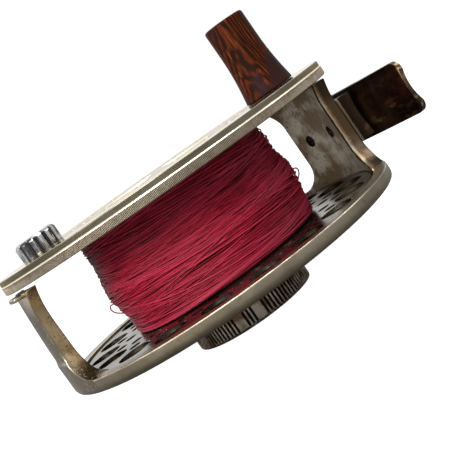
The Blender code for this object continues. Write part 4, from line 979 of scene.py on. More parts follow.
def polish_and_sheen_top(finish, top_height):
    """Make all that lies at a height smoother, as skin polished by fingers, and paler as a painted sheen; a
    ring round the crank's path and the dish's slope are paler still.
    """
    nodes, colour, rough = reopened(finish)
    place = nodes.place()
    radius = nodes.radius(place)
    top = nodes.step(nodes.height(place) - top_height, *POLISH_BELOW_TOP)
    ring = top * nodes.step(radius, *POLISH_RING_RADIUS)
    slope = nodes.step(radius, DISH_SLOPE_RADIUS + SLOPE_OUTER_FADE, DISH_SLOPE_RADIUS)
    slope = slope * nodes.step(radius, DISH_RADIUS, DISH_RADIUS + SLOPE_INNER_FADE)
    # The top face is painted paler as a sheen.
    colour = nodes.mix(top * 0.7, colour, PAINTED_TOP_SHEEN)
    colour = nodes.mix(ring * 0.7, colour, POLISHED_RING)
    colour = nodes.mix(slope * 0.9, colour, POLISHED_SLOPE)
    rough = rough * (1.0 - top * 0.15 - ring * 0.4) + slope * 0.25
    set_shader(finish, Base_Color=colour, Roughness=rough, Specular_Tint=CREAM_SHEEN)
    shader = finish.node_tree.nodes["Principled BSDF"]
    relief = shader.inputs["Normal"].links[0].from_node.inputs["Height"]
    flattened = Socket(nodes, relief.links[0].from_socket) * (1.0 - top)
    finish.node_tree.links.new(flattened.output, relief)


def knurl_rib():
    """One straight rib of the knurling, at turn zero: a low ridge that runs out at its lower end."""
    half = FULL_TURN * band_radius / KNURLS * KNURL_HALF_SHARE
    crown = half * KNURL_CROWN_SHARE
    root = band_radius - KNURL_ROOT
    work = bmesh.new()
    rows = []
    for height, share in ((SPOOL_RIM_LOW + KNURL_GAP, KNURL_LOW_SHARE),
                          (SPOOL_RIM_LOW + KNURL_RUN_OUT, 1), (BAND_HIGH - KNURL_GAP, 1)):
        peak = root + (KNURL_ROOT + KNURL_TIP) * share
        rows.append([work.verts.new((x, y, height)) for x, y in (
            (root, -half), (peak, -crown), (peak, crown), (root, half))])
    for row, following in zip(rows, rows[1:]):
        for j in range(4):
            k = (j + 1) % 4
            work.faces.new((row[j], row[k], following[k], following[j]))
    work.faces.new(rows[0])
    work.faces.new(rows[-1])
    return shape("rim_knurling", work)


def knurled_alloy():
    """Knurled alloy with painted shade at the foot of the ribs."""
    finish, nodes = new_finish("knurled_alloy")
    place = nodes.place()
    fine = nodes.noise(place, 600.0, 4.0, 0.6)
    # Painted shade at the foot of the ribs.
    low = nodes.ragged(nodes.radius(place) - band_radius, fine, KNURL_SHADE_SWING, *KNURL_SHADE_DEPTH)
    colour = nodes.mix(nodes.step(fine, 0.4, 0.65), KNURL_PALE, KNURL_BROWN)
    colour = nodes.mix(low * 0.8, colour, KNURL_SHADE)
    return set_shader(finish, Base_Color=colour, Metallic=1.0, Roughness=0.3 + fine * 0.15)


spool_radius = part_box("spool_face")[1].y
band_radius = spool_radius - BAND_STEP
plain_radius = spool_radius - LEDGE
inner_radius = spool_radius - RIM_WALL_THIN
face_outline = rounded(
    [(STEM_HOLE, DISH_TOP), (DISH_RADIUS, DISH_TOP), (DISH_SLOPE_RADIUS, FACE_TOP), (plain_radius, FACE_TOP),
     (plain_radius, BAND_HIGH + LEDGE), (spool_radius, BAND_HIGH), (band_radius, SPOOL_RIM_LOW),
     (inner_radius, SPOOL_RIM_LOW), (inner_radius, FACE_UNDER), (DISH_SLOPE_RADIUS, FACE_UNDER),
     (DISH_SLOPE_RADIUS, DISH_LOW), (STEM_HOLE, DISH_LOW)],
    [0, DISH_FILLET, DISH_EDGE_ROUND, TOP_ROUND, 0, LEDGE_ROUND, RIM_FOOT_ROUND, RIM_INSIDE_ROUND,
     FACE_FILLET, 0, DISH_UNDER_ROUND, 0], 7)
face_plate = turned("spool_face_plate", face_outline, FACE_SIDES)
for holes in (
        repeated(drill(FACE_HOLE, (FACE_HOLE_RING, 0), FACE_UNDER, FACE_TOP), FACE_HOLES,
                 HANDLE_TURN + pi / FACE_HOLES),
        repeated(drill(AXLE_HOLE, (HANDLE_ARM, 0), FACE_UNDER, FACE_TOP), 2, HANDLE_TURN),
        repeated(drill(SCREW_HOLE, (FACE_SCREW_RING, 0), DISH_LOW, DISH_TOP, COUNTERSINK), FACE_SCREWS)):
    face_plate = cut(face_plate, holes)
# The ledge above the knurling gets a painted highlight, a thin bright line.
spool_alloy = patinated_alloy(
    "spool_alloy", FACE_CLEAN, FACE_WORN, FACE_STAINED, 0.2,
    ((spool_radius - LEDGE / 2, BAND_HIGH + LEDGE / 2),), LEDGE_REACH)
polish_and_sheen_top(spool_alloy, FACE_TOP)
dress(face_plate, spool_alloy, "spool", "spool_alloy", "spool_face")
dress(repeated(knurl_rib(), KNURLS), knurled_alloy(), "spool", "spool_alloy")

FLANGE_LOW = 11.2 * MM
FLANGE_HIGH = 12.2 * MM
FLANGE_BORE = 14.2 * MM
FLANGE_RADIUS = 41.0 * MM
FLANGE_ROUND = 0.3 * MM
FLANGE_SIDES = 192
FLANGE_PLACES = 18
FLANGE_BIG_RING = 35.4 * MM
FLANGE_BIG_HOLE = 4.1 * MM
FLANGE_SMALL_HOLE = 1.5 * MM
FLANGE_MIDDLE_RING = 31.1 * MM
FLANGE_INNER_RING = 28.1 * MM
FLANGE_CHAMFER = 0.12 * MM
RIVET_RING = 15.6 * MM
RIVETS = 4

FLANGE_CLEAN = (0.26, 0.235, 0.19)
FLANGE_WORN = (0.085, 0.07, 0.045)
FLANGE_STAINED = (0.045, 0.032, 0.018)
FLANGE_SHADE = (0.05, 0.036, 0.02)
FLANGE_SHADE_FROM = (23.0 * MM, 30.0 * MM)
FLANGE_SHADE_SWING = 12.0 * MM


def flange_post_shade(finish):
    """Painted shade on the side of the flange that lies by the wide post, which is also made rougher."""
    nodes, colour, rough = reopened(finish)
    place = nodes.place()
    cloud = nodes.noise(place, 160.0, 4.0, 0.6)
    # Painted shade towards the wide post.
    darkening = nodes.ragged(nodes.split(place)[0], cloud, FLANGE_SHADE_SWING, *FLANGE_SHADE_FROM)
    set_shader(finish, Base_Color=nodes.mix(darkening * 0.85, colour, FLANGE_SHADE),
               Roughness=rough + darkening * 0.2)


flange_outline = rounded(
    [(FLANGE_BORE, FLANGE_HIGH), (FLANGE_RADIUS, FLANGE_HIGH), (FLANGE_RADIUS, FLANGE_LOW),
     (FLANGE_BORE, FLANGE_LOW)], [0, FLANGE_ROUND, FLANGE_ROUND, 0])
flange = turned("drilled_flange", flange_outline, FLANGE_SIDES)
for ring, hole, count, start in (
        (FLANGE_BIG_RING, FLANGE_BIG_HOLE, FLANGE_PLACES, 0),
        (FLANGE_INNER_RING, FLANGE_SMALL_HOLE, FLANGE_PLACES, 0),
        (FLANGE_MIDDLE_RING, FLANGE_SMALL_HOLE, FLANGE_PLACES, pi / FLANGE_PLACES),
        (RIVET_RING, SCREW_HOLE, RIVETS, 0)):
    cutter = drill(hole, (ring, 0), FLANGE_LOW, FLANGE_HIGH, FLANGE_CHAMFER)
    flange = cut(flange, repeated(cutter, count, start))
flange_alloy = patinated_alloy("flange_alloy", FLANGE_CLEAN, FLANGE_WORN, FLANGE_STAINED, 0.26)
flange_post_shade(flange_alloy)
dress(flange, flange_alloy, "spool", "flange_alloy", "inner_flange")


# Cap and face screws
# A low domed cap of plated steel closes the middle of the crank plate, and four countersunk
# screws hold the plate to the drum.

CAP_RADIUS = 5.6 * MM
CAP_LOW = 39.5 * MM
CAP_HIGH = 41.4 * MM
CAP_SEAT = 0.35 * MM
CAP_LIP = 0.3 * MM
CAP_LIP_DROP = 0.1 * MM
CAP_STEM = 2.0 * MM
CAP_STEPS = 16
CAP_SIDES = 96
STEM_LOW = 38.0 * MM
FACE_SCREW_HEAD = 1.1 * MM
FACE_SCREW_THICKNESS = 0.5 * MM
FACE_SCREW_SLOT_TURN = radians(20)
FACE_SCREW_SLOT_STEP = radians(55)
CAP_BRIGHT = (0.62, 0.6, 0.56)
CAP_CLOUDED = (0.48, 0.46, 0.42)
STEEL_BRIGHT = (0.5, 0.5, 0.5)
STEEL_CLOUDED = (0.36, 0.35, 0.34)
SCRATCH_RELIEF = 0.01 * MM


def plated_steel(name, bright, clouded, roughness):
    """Bright plated steel with fine scratches and faint clouding."""
    finish, nodes = new_finish(name)
    place = nodes.place()
    cloud = nodes.noise(place, 180.0, 4.0, 0.6)
    scratch = nodes.noise(nodes.stretched(place, (1.0, 0.12, 1.0)), 700.0, 5.0, 0.7)
    colour = nodes.mix(nodes.step(cloud, 0.38, 0.66), bright, clouded)
    rough = roughness + nodes.step(scratch, 0.55, 0.75) * 0.12 + (cloud - 0.5) * 0.08
    return set_shader(finish, Base_Color=colour, Metallic=1.0, Roughness=rough,
                      Normal=bump(nodes, scratch, 0.12, SCRATCH_RELIEF))


dome_radius = CAP_RADIUS - CAP_LIP
dome_low = CAP_LOW + CAP_SEAT
cap_outline = [(0, CAP_HIGH)]
for step in range(1, CAP_STEPS):
    turn = QUARTER_TURN * step / CAP_STEPS
    cap_outline.append((dome_radius * sin(turn), dome_low + (CAP_HIGH - dome_low) * cos(turn)))
cap_outline += [(dome_radius, dome_low), (CAP_RADIUS, dome_low - CAP_LIP_DROP), (CAP_RADIUS, CAP_LOW),
                (CAP_STEM, CAP_LOW), (CAP_STEM, STEM_LOW), (0, STEM_LOW)]
cap = turned("domed_cap", cap_outline, CAP_SIDES)
dress(cap, plated_steel("cap_steel", CAP_BRIGHT, CAP_CLOUDED, 0.16), "spool", "cap_steel", "spool_cap")

bright_steel = plated_steel("bright_steel", STEEL_BRIGHT, STEEL_CLOUDED, 0.24)
for i in range(FACE_SCREWS):
    screw = slotted_head(f"face_screw_head_{i + 1}", FACE_SCREW_HEAD, FACE_SCREW_THICKNESS, DISH_TOP)
    turn = FULL_TURN * i / FACE_SCREWS
    screw.data.transform(Matrix.Rotation(FACE_SCREW_SLOT_TURN + FACE_SCREW_SLOT_STEP * i, 4, "Z"))
    screw.data.transform(Matrix.Translation((FACE_SCREW_RING * cos(turn), FACE_SCREW_RING * sin(turn), 0)))
    dress(screw, bright_steel, "spool", "steel", f"face_screw_{i + 1}")


# Handle
# The grip is turned from dark figured rosewood and oiled.  It flares to its foot, and a headed
# steel axle runs through it, riveted under the crank plate.

GRIP_LOW = 41.25 * MM
GRIP_HEIGHT = 19.85 * MM
GRIP_BASE_ROUND = 0.8 * MM
GRIP_TOP = 5.2 * MM
GRIP_TOP_ROUND = 0.7 * MM
GRIP_BASE = 6.45 * MM
GRIP_FLARE = 13.0 * MM
GRIP_FLARE_STEPS = 32
GRIP_FLARE_CLEAR = 2
GRIP_BORE = 2.1 * MM
GRIP_SINK = 3.2 * MM
GRIP_SINK_DEPTH = 1.6 * MM
GRIP_SINK_ROUND = 0.25 * MM
GRIP_SIDES = 96
AXLE_HEAD = 2.8 * MM
AXLE_HEAD_LOW = 18.55 * MM
AXLE_HEAD_THICKNESS = 0.9 * MM
AXLE_HEAD_ROUND = 0.35 * MM
AXLE_UNDER_ROUND = 0.1 * MM
AXLE_END_ROUND = 0.2 * MM
AXLE_RADIUS = 1.8 * MM
AXLE_LOW = 39.6 * MM
AXLE_SIDES = 48

WOOD_DARK = (0.013, 0.004, 0.002)
WOOD_WARM = (0.074, 0.014, 0.004)
WOOD_ORANGE = (0.17, 0.05, 0.012)
WOOD_PORE = (0.01, 0.004, 0.003)
WOOD_KNOT = (0.018, 0.008, 0.009)
RING_PACE = 8.6 / MM
FIGURE_SWING = 4.6 * MM
KNOT_HEIGHTS = (11.0 * MM, 1.0 * MM)
WOOD_RELIEF = 0.05 * MM


def rosewood():
    """Oiled rosewood: rings seen from the side as streaks, dark pores and a few black knots."""
    finish, nodes = new_finish("rosewood")
    centred = nodes.node("ShaderNodeVectorMath", {"operation": "SUBTRACT"},
                         (nodes.place(), (*handle_place, GRIP_LOW)))
    bent = nodes.noise(nodes.stretched(centred, (1.0, 1.0, 0.35)), 160.0, 3.0, 0.5)
    x, y, z = nodes.split(centred)
    across = x * 0.75 + y * 0.66 + (bent - 0.5) * FIGURE_SWING + z * 0.09
    rings = nodes.maths("SINE", across * RING_PACE) * 0.5 + 0.5
    streaks = nodes.noise(nodes.stretched(centred, (1.0, 1.0, 0.07)), 1500.0, 4.0, 0.65)
    pores = nodes.noise(nodes.stretched(centred, (1.0, 1.0, 0.05)), 3400.0, 2.0, 0.5)
    knots = nodes.noise(nodes.stretched(centred, (1.0, 1.0, 0.55)), 150.0, 2.0, 0.45)
    knots = knots + nodes.step(z, *KNOT_HEIGHTS, 0.0, 0.2)
    pitted = nodes.step(pores, 0.58, 0.66)
    colour = nodes.mix(nodes.step(rings * 0.32 + streaks * 0.85, 0.42, 0.86), WOOD_DARK, WOOD_WARM)
    colour = nodes.mix(nodes.step(streaks, 0.53, 0.68) * rings * 0.6, colour, WOOD_ORANGE)
    colour = nodes.mix(pitted * 0.85, colour, WOOD_PORE)
    colour = nodes.mix(nodes.step(knots, 0.56, 0.68) * 0.85, colour, WOOD_KNOT)
    return set_shader(finish, Base_Color=colour, Roughness=0.45 + (streaks - 0.5) * 0.3,
                      Specular_IOR_Level=0.03, Normal=bump(nodes, streaks * 0.4 - pitted, 0.3, WOOD_RELIEF))


handle_place = (HANDLE_ARM * cos(HANDLE_TURN), HANDLE_ARM * sin(HANDLE_TURN))
grip_top = GRIP_LOW + GRIP_HEIGHT
sink_floor = grip_top - GRIP_SINK_DEPTH
flare = []
for step in range(GRIP_FLARE_STEPS - GRIP_FLARE_CLEAR):
    share = step / GRIP_FLARE_STEPS
    flare.append((GRIP_TOP + (GRIP_BASE - GRIP_TOP) * share ** 2, GRIP_LOW + GRIP_FLARE * (1 - share)))
grip_outline = rounded(
    [(GRIP_BORE, sink_floor), (GRIP_SINK, sink_floor), (GRIP_SINK, grip_top), (GRIP_TOP, grip_top), *flare,
     (GRIP_BASE, GRIP_LOW), (GRIP_BORE, GRIP_LOW)],
    [0, 0, GRIP_SINK_ROUND, GRIP_TOP_ROUND] + [0] * len(flare) + [GRIP_BASE_ROUND, 0], 6)
grip = turned("rosewood_grip", grip_outline, GRIP_SIDES, handle_place)
dress(grip, rosewood(), "handle", "rosewood", "handle_grip")

head_low = GRIP_LOW + AXLE_HEAD_LOW
head_top = head_low + AXLE_HEAD_THICKNESS
axle_outline = rounded(
    [(0, head_top), (AXLE_HEAD, head_top), (AXLE_HEAD, head_low), (AXLE_RADIUS, head_low),
     (AXLE_RADIUS, AXLE_LOW), (0, AXLE_LOW)],
    [0, AXLE_HEAD_ROUND, AXLE_UNDER_ROUND, 0, AXLE_END_ROUND, 0])
axle = turned("riveted_axle", axle_outline, AXLE_SIDES, handle_place)
dress(axle, bright_steel, "spool", "steel", "handle_axle")


# Counterweight
# A chromed brass knob with fourteen flutes and a turned groove on top balances the handle.  It is
# held by a screw from below.

WEIGHT_RADIUS = 5.5 * MM
WEIGHT_LOW = 41.22 * MM
WEIGHT_HIGH = 45.6 * MM
WEIGHT_BEVEL = 0.75 * MM
WEIGHT_BEVEL_ROUND = 0.25 * MM
WEIGHT_FOOT_ROUND = 0.2 * MM
WEIGHT_EDGE_ROUND = 0.1 * MM
WEIGHT_EDGE_ANGLE = radians(40)
WEIGHT_SIDES = 140
GROOVE_OUTER = 1.4 * MM
GROOVE_INNER = 1.7 * MM
GROOVE_FLOOR = 1.9 * MM
GROOVE_SINK = 0.12 * MM
WEIGHT_FLUTES = 14
FLUTE_RADIUS = 0.8 * MM
FLUTE_DEPTH = 0.5 * MM
FLUTE_MOUTH_SHARE = 1.25
FLUTE_OVERRUN = 1.0 * MM
FLUTE_SIDES = 20

CHROME_DARK_REFLECTION = (0.1, 0.104, 0.108)
CHROME_PALE_REFLECTION = (0.5, 0.51, 0.5)
CHROME_TOP_SHEEN = (0.5, 0.53, 0.53)
FLUTE_SHADE = (0.03, 0.03, 0.032)
FACET_LENGTH = 1.2 * MM
CHROME_TOP_BELOW = (-0.25 * MM, -0.1 * MM)
FLUTE_SHADE_BELOW = (-0.3 * MM, -0.7 * MM)
FLUTE_SHADE_DEPTH = (-0.18 * MM, -0.42 * MM)
FLUTE_SHADE_SWING = 0.3 * MM


def reflecting_chrome():
    """Chrome plate with dark and pale painted reflections round the ribs, a paler top as a painted sheen, and
    painted shade in the flutes.
    """
    finish, nodes = new_finish("reflecting_chrome")
    centred = nodes.node("ShaderNodeVectorMath", {"operation": "ADD"}, (nodes.place(), (*handle_place, 0)))
    height = nodes.height(centred)
    below = height - WEIGHT_HIGH
    cloud = nodes.noise(centred, 700.0, 4.0, 0.6)
    facing = nodes.noise(nodes.joined(nodes.turn(centred) * FACET_LENGTH, 0, height * 0.1), 1900.0, 2.0)
    # Dark and pale painted reflections round the ribs.
    colour = nodes.mix(nodes.step(facing, 0.38, 0.6), CHROME_DARK_REFLECTION, CHROME_PALE_REFLECTION)
    # A painted sheen on the top.
    colour = nodes.mix(nodes.step(below, *CHROME_TOP_BELOW), colour, CHROME_TOP_SHEEN)
    # Painted shade in the flutes.
    flute_shading = nodes.ragged(nodes.radius(centred) - WEIGHT_RADIUS, cloud, FLUTE_SHADE_SWING, *FLUTE_SHADE_DEPTH)
    flute_shading = flute_shading * nodes.step(below, *FLUTE_SHADE_BELOW)
    colour = nodes.mix(flute_shading, colour, FLUTE_SHADE)
    return set_shader(finish, Base_Color=colour, Metallic=1.0,
                      Roughness=0.1 + flute_shading * 0.2 + (cloud - 0.5) * 0.08)


weight_outline = rounded(
    [(0, WEIGHT_HIGH), (WEIGHT_RADIUS - GROOVE_INNER, WEIGHT_HIGH),
     (WEIGHT_RADIUS - GROOVE_FLOOR, WEIGHT_HIGH - GROOVE_SINK), (WEIGHT_RADIUS - GROOVE_OUTER, WEIGHT_HIGH),
     (WEIGHT_RADIUS - WEIGHT_BEVEL, WEIGHT_HIGH), (WEIGHT_RADIUS, WEIGHT_HIGH - WEIGHT_BEVEL),
     (WEIGHT_RADIUS, WEIGHT_LOW), (0, WEIGHT_LOW)],
    [0, 0, 0, 0, WEIGHT_BEVEL_ROUND, WEIGHT_BEVEL_ROUND, WEIGHT_FOOT_ROUND, 0])
weight = turned("chromed_weight", weight_outline, WEIGHT_SIDES)
flute_top = WEIGHT_HIGH + FLUTE_OVERRUN
flute_low = WEIGHT_LOW - FLUTE_OVERRUN
flute_outline = [(0, flute_top), (FLUTE_RADIUS * FLUTE_MOUTH_SHARE, flute_top),
                 (FLUTE_RADIUS, WEIGHT_HIGH - WEIGHT_BEVEL), (FLUTE_RADIUS, flute_low), (0, flute_low)]
flute = turned("flute", flute_outline, FLUTE_SIDES, (WEIGHT_RADIUS + FLUTE_RADIUS - FLUTE_DEPTH, 0))
weight = cut(weight, repeated(flute, WEIGHT_FLUTES))
weight = bevelled(weight, WEIGHT_EDGE_ROUND, 2, WEIGHT_EDGE_ANGLE)
weight.data.transform(Matrix.Translation((-handle_place[0], -handle_place[1], 0)))
dress(weight, reflecting_chrome(), "spool", "chrome", "counterweight_knob")


# Line
# Fine crimson line fills the spool in crossing turns: an even layer over a core in painted shade,
# bundles that slant across it, and two slack loops at the sides.  Painted shade lies between the
# strands and low on the pack, and a painted highlight on the proud strands.

LINE_LOW = 12.45 * MM
LINE_HIGH = 38.75 * MM
LINE_MIDDLE = (LINE_LOW + LINE_HIGH) / 2
LINE_HALF = (LINE_HIGH - LINE_LOW) / 2
STRAND = 0.17 * MM
STRAND_SIDES = 5
LINE_BASE = 25.35 * MM
BULGE = 1.25 * MM
BULGE_HEIGHT = 23.2 * MM
BULGE_SPREAD = 4.6 * MM
END_FALL = 0.3 * MM
CORE_INNER = 17.3 * MM
CORE_INSET = 0.55 * MM
CORE_STEPS = 32
CORE_SIDES = 128
POINTS_A_TURN = 72
HEIGHT_JITTER = 0.25 * MM
RADIUS_JITTER = 1.2 * MM
END_SINK = 0.9 * MM
LAYER_TURNS = 92
LAYER_WANDER = 4.2 * MM
LAYER_SEED = 3.0
BUNDLES = 48
BUNDLE_LOW_SHARE = 0.06
BUNDLE_SPAN_SHARE = 0.88
BUNDLE_SHIFT = 0.4
BUNDLE_SPREAD = (0.5 * MM, 1.6 * MM)
BUNDLE_TURNS = (1.6, 2.3, 3.4, 4.2)
BUNDLE_LEAN = (0.8 * MM, 4.6 * MM)
BUNDLE_LEAN_SHARE = 0.8
BUNDLE_PROUD = (0.1 * MM, 0.45 * MM)
BUNDLE_WANDER = 0.8 * MM
BUNDLE_SHARP_ANGLE = radians(80)

LINE_SHADE = (0.19, 0.004, 0.014)
LINE_RED = (0.4, 0.012, 0.04)
LINE_DARK_GROUP = (0.11, 0.002, 0.008)
LINE_PALE_GROUP = (0.62, 0.05, 0.12)
LINE_DARK_PATCH = (0.13, 0.002, 0.008)
LINE_FIBRE = (0.7, 0.11, 0.17)
LINE_LOW_SHADE = (0.12, 0.006, 0.018)
LINE_PROUD_HIGHLIGHT = (0.62, 0.06, 0.12)
LINE_DEEP_SHADE = (0.06, 0.001, 0.004)
STRAND_PACE = 1.1 * MM
STRAND_SLANT = 6.0 * MM
LOW_SHADE_HEIGHTS = (21.0 * MM, 14.0 * MM)
PROUD_DEPTH = (0.12 * MM, 0.4 * MM)
DEEP_DEPTH = (-0.1 * MM, -0.42 * MM)
FIBRE_RELIEF = 0.02 * MM


def line_radius(height):
    """Outer radius of the wound line at a height."""
    swell = exp(-((height - BULGE_HEIGHT) / BULGE_SPREAD) ** 2) * BULGE
    return LINE_BASE + swell - END_FALL * ((height - LINE_MIDDLE) / LINE_HALF) ** 8


def line_radius_nodes(nodes, height):
    """The same outer radius as nodes."""
    middle = (height - BULGE_HEIGHT) / BULGE_SPREAD
    end = (height - LINE_MIDDLE) / LINE_HALF
    swell = nodes.maths("EXPONENT", middle * middle * -1.0) * BULGE
    return swell - (end * end) ** 4.0 * END_FALL + LINE_BASE


def winding_tree():
    """Wind one strand: a helix that leans, wanders, swells with the pack and sinks at its ends."""
    nodes, given = new_tree("line_winder", {
        "Points": "Int", "Points A Turn": "Int", "Low": "Float", "High": "Float", "Lean": "Float",
        "Lean Turn": "Float", "Wander": "Float", "Proud": "Float", "Strand": "Float", "Seed": "Float",
        "Finish": "Material"})
    path = nodes.node("GeometryNodeMeshLine", {"mode": "OFFSET"},
                      {"Count": given["Points"], "Offset": (0, 0, 0)})
    number = nodes.node("GeometryNodeInputIndex")
    turns = number / given["Points A Turn"]
    share = number / given["Points"]
    turn = turns * FULL_TURN

    def drift(pace, offset, detail=2.0):
        """A value that drifts along the strand, at a pace for each turn."""
        return nodes.node("ShaderNodeTexNoise", {"noise_dimensions": "1D"},
                          {"W": turns * pace + given["Seed"] + offset, "Scale": 1.0, "Detail": detail})

    slow = drift(0.11, 0.0)
    phase = drift(0.07, 40.0)
    quick = drift(1.7, 80.0, 3.0)
    lean = given["Lean"] * nodes.maths("SINE", turn - given["Lean Turn"])
    wander = given["Wander"] * (slow - 0.5) * nodes.maths("SINE", turn + phase * 14.0)
    height = given["Low"] + (given["High"] - given["Low"]) * share + lean + wander
    height = height + (quick - 0.5) * HEIGHT_JITTER
    height = nodes.maths("MAXIMUM", nodes.maths("MINIMUM", height, LINE_HIGH - STRAND), LINE_LOW + STRAND)
    ends = nodes.maths("MINIMUM", turns, (given["Points"] - number) / given["Points A Turn"])
    sunk = nodes.step(ends, 0.0, 0.2, 1.0, 0.0) * END_SINK
    proud = given["Proud"] + (quick - 0.5) * RADIUS_JITTER - sunk
    radius = line_radius_nodes(nodes, height) - given["Strand"] + proud
    place = nodes.joined(radius * nodes.maths("COSINE", turn), radius * nodes.maths("SINE", turn), height)
    moved = nodes.node("GeometryNodeSetPosition", None, {"Geometry": path, "Position": place})
    curve = nodes.node("GeometryNodeMeshToCurve", None, (moved,))
    profile = nodes.node("GeometryNodeCurvePrimitiveCircle", None,
                         {"Resolution": STRAND_SIDES, "Radius": given["Strand"]})
    strand = nodes.node("GeometryNodeCurveToMesh", None,
                        {"Curve": curve, "Profile Curve": profile, "Fill Caps": True})
    return close_tree(nodes, strand, given["Finish"])


line_winder = winding_tree()


def wound(name, turns, low, high, values):
    """Wind a strand of so many turns between two heights."""
    seed = bpy.data.meshes.new(name)
    seed.from_pydata([(0, 0, 0)], [], [])
    values = {"Lean": 0.0, "Lean Turn": 0.0, "Proud": 0.0, "Strand": STRAND, "Low": low, "High": high,
              "Points": ceil(turns * POINTS_A_TURN), "Points A Turn": POINTS_A_TURN, **values}
    piece = grown(added(name, seed), line_winder, values)
    piece.data.shade_smooth()
    return piece


def crossing_bundles():
    """Short strands in one piece, each wound at its own height, lean and turn."""
    work = bmesh.new()
    for i in range(BUNDLES):
        place = (i + random.uniform(-BUNDLE_SHIFT, BUNDLE_SHIFT)) / BUNDLES
        middle = LINE_LOW + (LINE_HIGH - LINE_LOW) * (BUNDLE_LOW_SHARE + BUNDLE_SPAN_SHARE * place)
        room = min(middle - LINE_LOW, LINE_HIGH - middle)
        spread = random.uniform(*BUNDLE_SPREAD)
        turns = random.choice(BUNDLE_TURNS)
        bundle = wound("bundle", turns, middle - spread, middle + spread, {
            "Lean": min(random.uniform(*BUNDLE_LEAN), room * BUNDLE_LEAN_SHARE),
            "Lean Turn": random.uniform(0, FULL_TURN), "Proud": random.uniform(*BUNDLE_PROUD),
            "Wander": BUNDLE_WANDER, "Seed": 10.0 + 7 * i})
        bundle.data.transform(Matrix.Rotation(random.uniform(0, FULL_TURN), 4, "Z"))
        work.from_mesh(bundle.data)
        bpy.data.objects.remove(bundle)
    return shape("crossing_turns", work, BUNDLE_SHARP_ANGLE)


def loose_loop(name, edge_turn, points):
    """A slack loop that stands off the pack at a side."""
    curve = bpy.data.curves.new(name, "CURVE")
    curve.dimensions = "3D"
    curve.bevel_depth = STRAND
    curve.bevel_resolution = 2
    curve.use_fill_caps = True
    spline = curve.splines.new("NURBS")
    spline.points.add(len(points) - 1)
    for point, (aside, radius, height) in zip(spline.points, points):
        turn = edge_turn + radians(aside)
        point.co = (radius * MM * cos(turn), radius * MM * sin(turn), height * MM, 1)
    spline.use_endpoint_u = True
    spline.order_u = 4
    spline.resolution_u = 10
    loop = baked(added(name, curve))
    loop.data.shade_smooth()
    return loop


def crimson_line():
    """Waxed crimson line: each strand its own tone, with pale fibres; painted shade between strands and low
    on the pack, and a painted highlight on proud strands.
    """
    finish, nodes = new_finish("crimson_line")
    place = nodes.place()
    height = nodes.height(place)
    turn = nodes.turn(place)
    slant = nodes.noise(place, 55.0, 2.0, 0.5)
    along = nodes.joined(nodes.maths("COSINE", turn) * STRAND_PACE, nodes.maths("SINE", turn) * STRAND_PACE,
                         height + (slant - 0.5) * STRAND_SLANT)
    strands = nodes.noise(along, 2300.0, 2.0, 0.6)
    groups = nodes.noise(along, 800.0, 3.0, 0.55)
    fibres = nodes.noise(place, 5200.0, 2.0, 0.6)
    patches = nodes.noise(place, 110.0, 3.0, 0.5)
    depth = nodes.radius(place) - line_radius_nodes(nodes, height)
    colour = nodes.mix(nodes.step(strands, 0.38, 0.62), LINE_SHADE, LINE_RED)
    colour = nodes.mix(nodes.step(groups, 0.56, 0.68) * 0.7, colour, LINE_DARK_GROUP)
    colour = nodes.mix(nodes.step(groups, 0.44, 0.32) * 0.6, colour, LINE_PALE_GROUP)
    colour = nodes.mix(nodes.step(patches, 0.46, 0.7) * 0.45, colour, LINE_DARK_PATCH)
    colour = nodes.mix(nodes.step(fibres, 0.58, 0.74) * 0.2, colour, LINE_FIBRE)
    colour = nodes.mix(nodes.step(height, *LOW_SHADE_HEIGHTS) * 0.5, colour, LINE_LOW_SHADE)
    # A painted highlight on proud strands, painted shade on deep ones.
    colour = nodes.mix(nodes.step(depth, *PROUD_DEPTH) * 0.4, colour, LINE_PROUD_HIGHLIGHT)
    colour = nodes.mix(nodes.step(depth, *DEEP_DEPTH) * 0.8, colour, LINE_DEEP_SHADE)
    return set_shader(finish, Base_Color=colour, Roughness=0.44 + (strands - 0.5) * 0.24,
                      Specular_IOR_Level=0.16, Normal=bump(nodes, fibres, 0.3, FIBRE_RELIEF))


crimson = crimson_line()
core_outline = [(CORE_INNER, LINE_LOW)]
for step in range(CORE_STEPS + 1):
    height = LINE_LOW + (LINE_HIGH - LINE_LOW) * step / CORE_STEPS
    core_outline.append((line_radius(height) - CORE_INSET, height))
core_outline.append((CORE_INNER, LINE_HIGH))
dress(turned("line_bed", core_outline, CORE_SIDES), crimson, "spool", "red_line", "line_core")
even_layer = wound("line_layer", LAYER_TURNS, LINE_LOW + STRAND, LINE_HIGH - STRAND,
                   {"Wander": LAYER_WANDER, "Seed": LAYER_SEED})
dress(even_layer, crimson, "spool", "red_line", "line_winding")
random.seed(11)
dress(crossing_bundles(), crimson, "spool", "red_line")

# The loops' routes are listed: turn aside in degrees, radius and height in millimetres.
LEFT_EDGE = radians(165)
RIGHT_EDGE = radians(-27)
LEFT_ROUTE = (
    (26, 25.6, 21.4), (14, 26.2, 21.6), (6, 26.9, 21.9), (1, 27.7, 21.6), (-2, 28.0, 20.6), (0, 27.6, 19.6),
    (5, 26.7, 19.0), (12, 26.2, 18.7), (24, 25.4, 18.4))
RIGHT_ROUTE = (
    (-24, 25.8, 24.0), (-12, 26.6, 23.8), (-4, 27.2, 23.4), (1, 27.7, 22.7), (3, 27.5, 21.7),
    (-1, 26.9, 21.0), (-9, 26.3, 20.7), (-22, 25.6, 20.4))
for name, edge, route in (("loose_loop_left", LEFT_EDGE, LEFT_ROUTE),
                          ("loose_loop_right", RIGHT_EDGE, RIGHT_ROUTE)):
    dress(loose_loop(name, edge, route), crimson, "spool", "red_line")


# Inner works
# Inside sit the drum, the spindle with its bushes, the draw-bar drag and the click.  They are of
# plain alloy, steel, brass and cork, so the CAD pieces stay and only get their finishes.

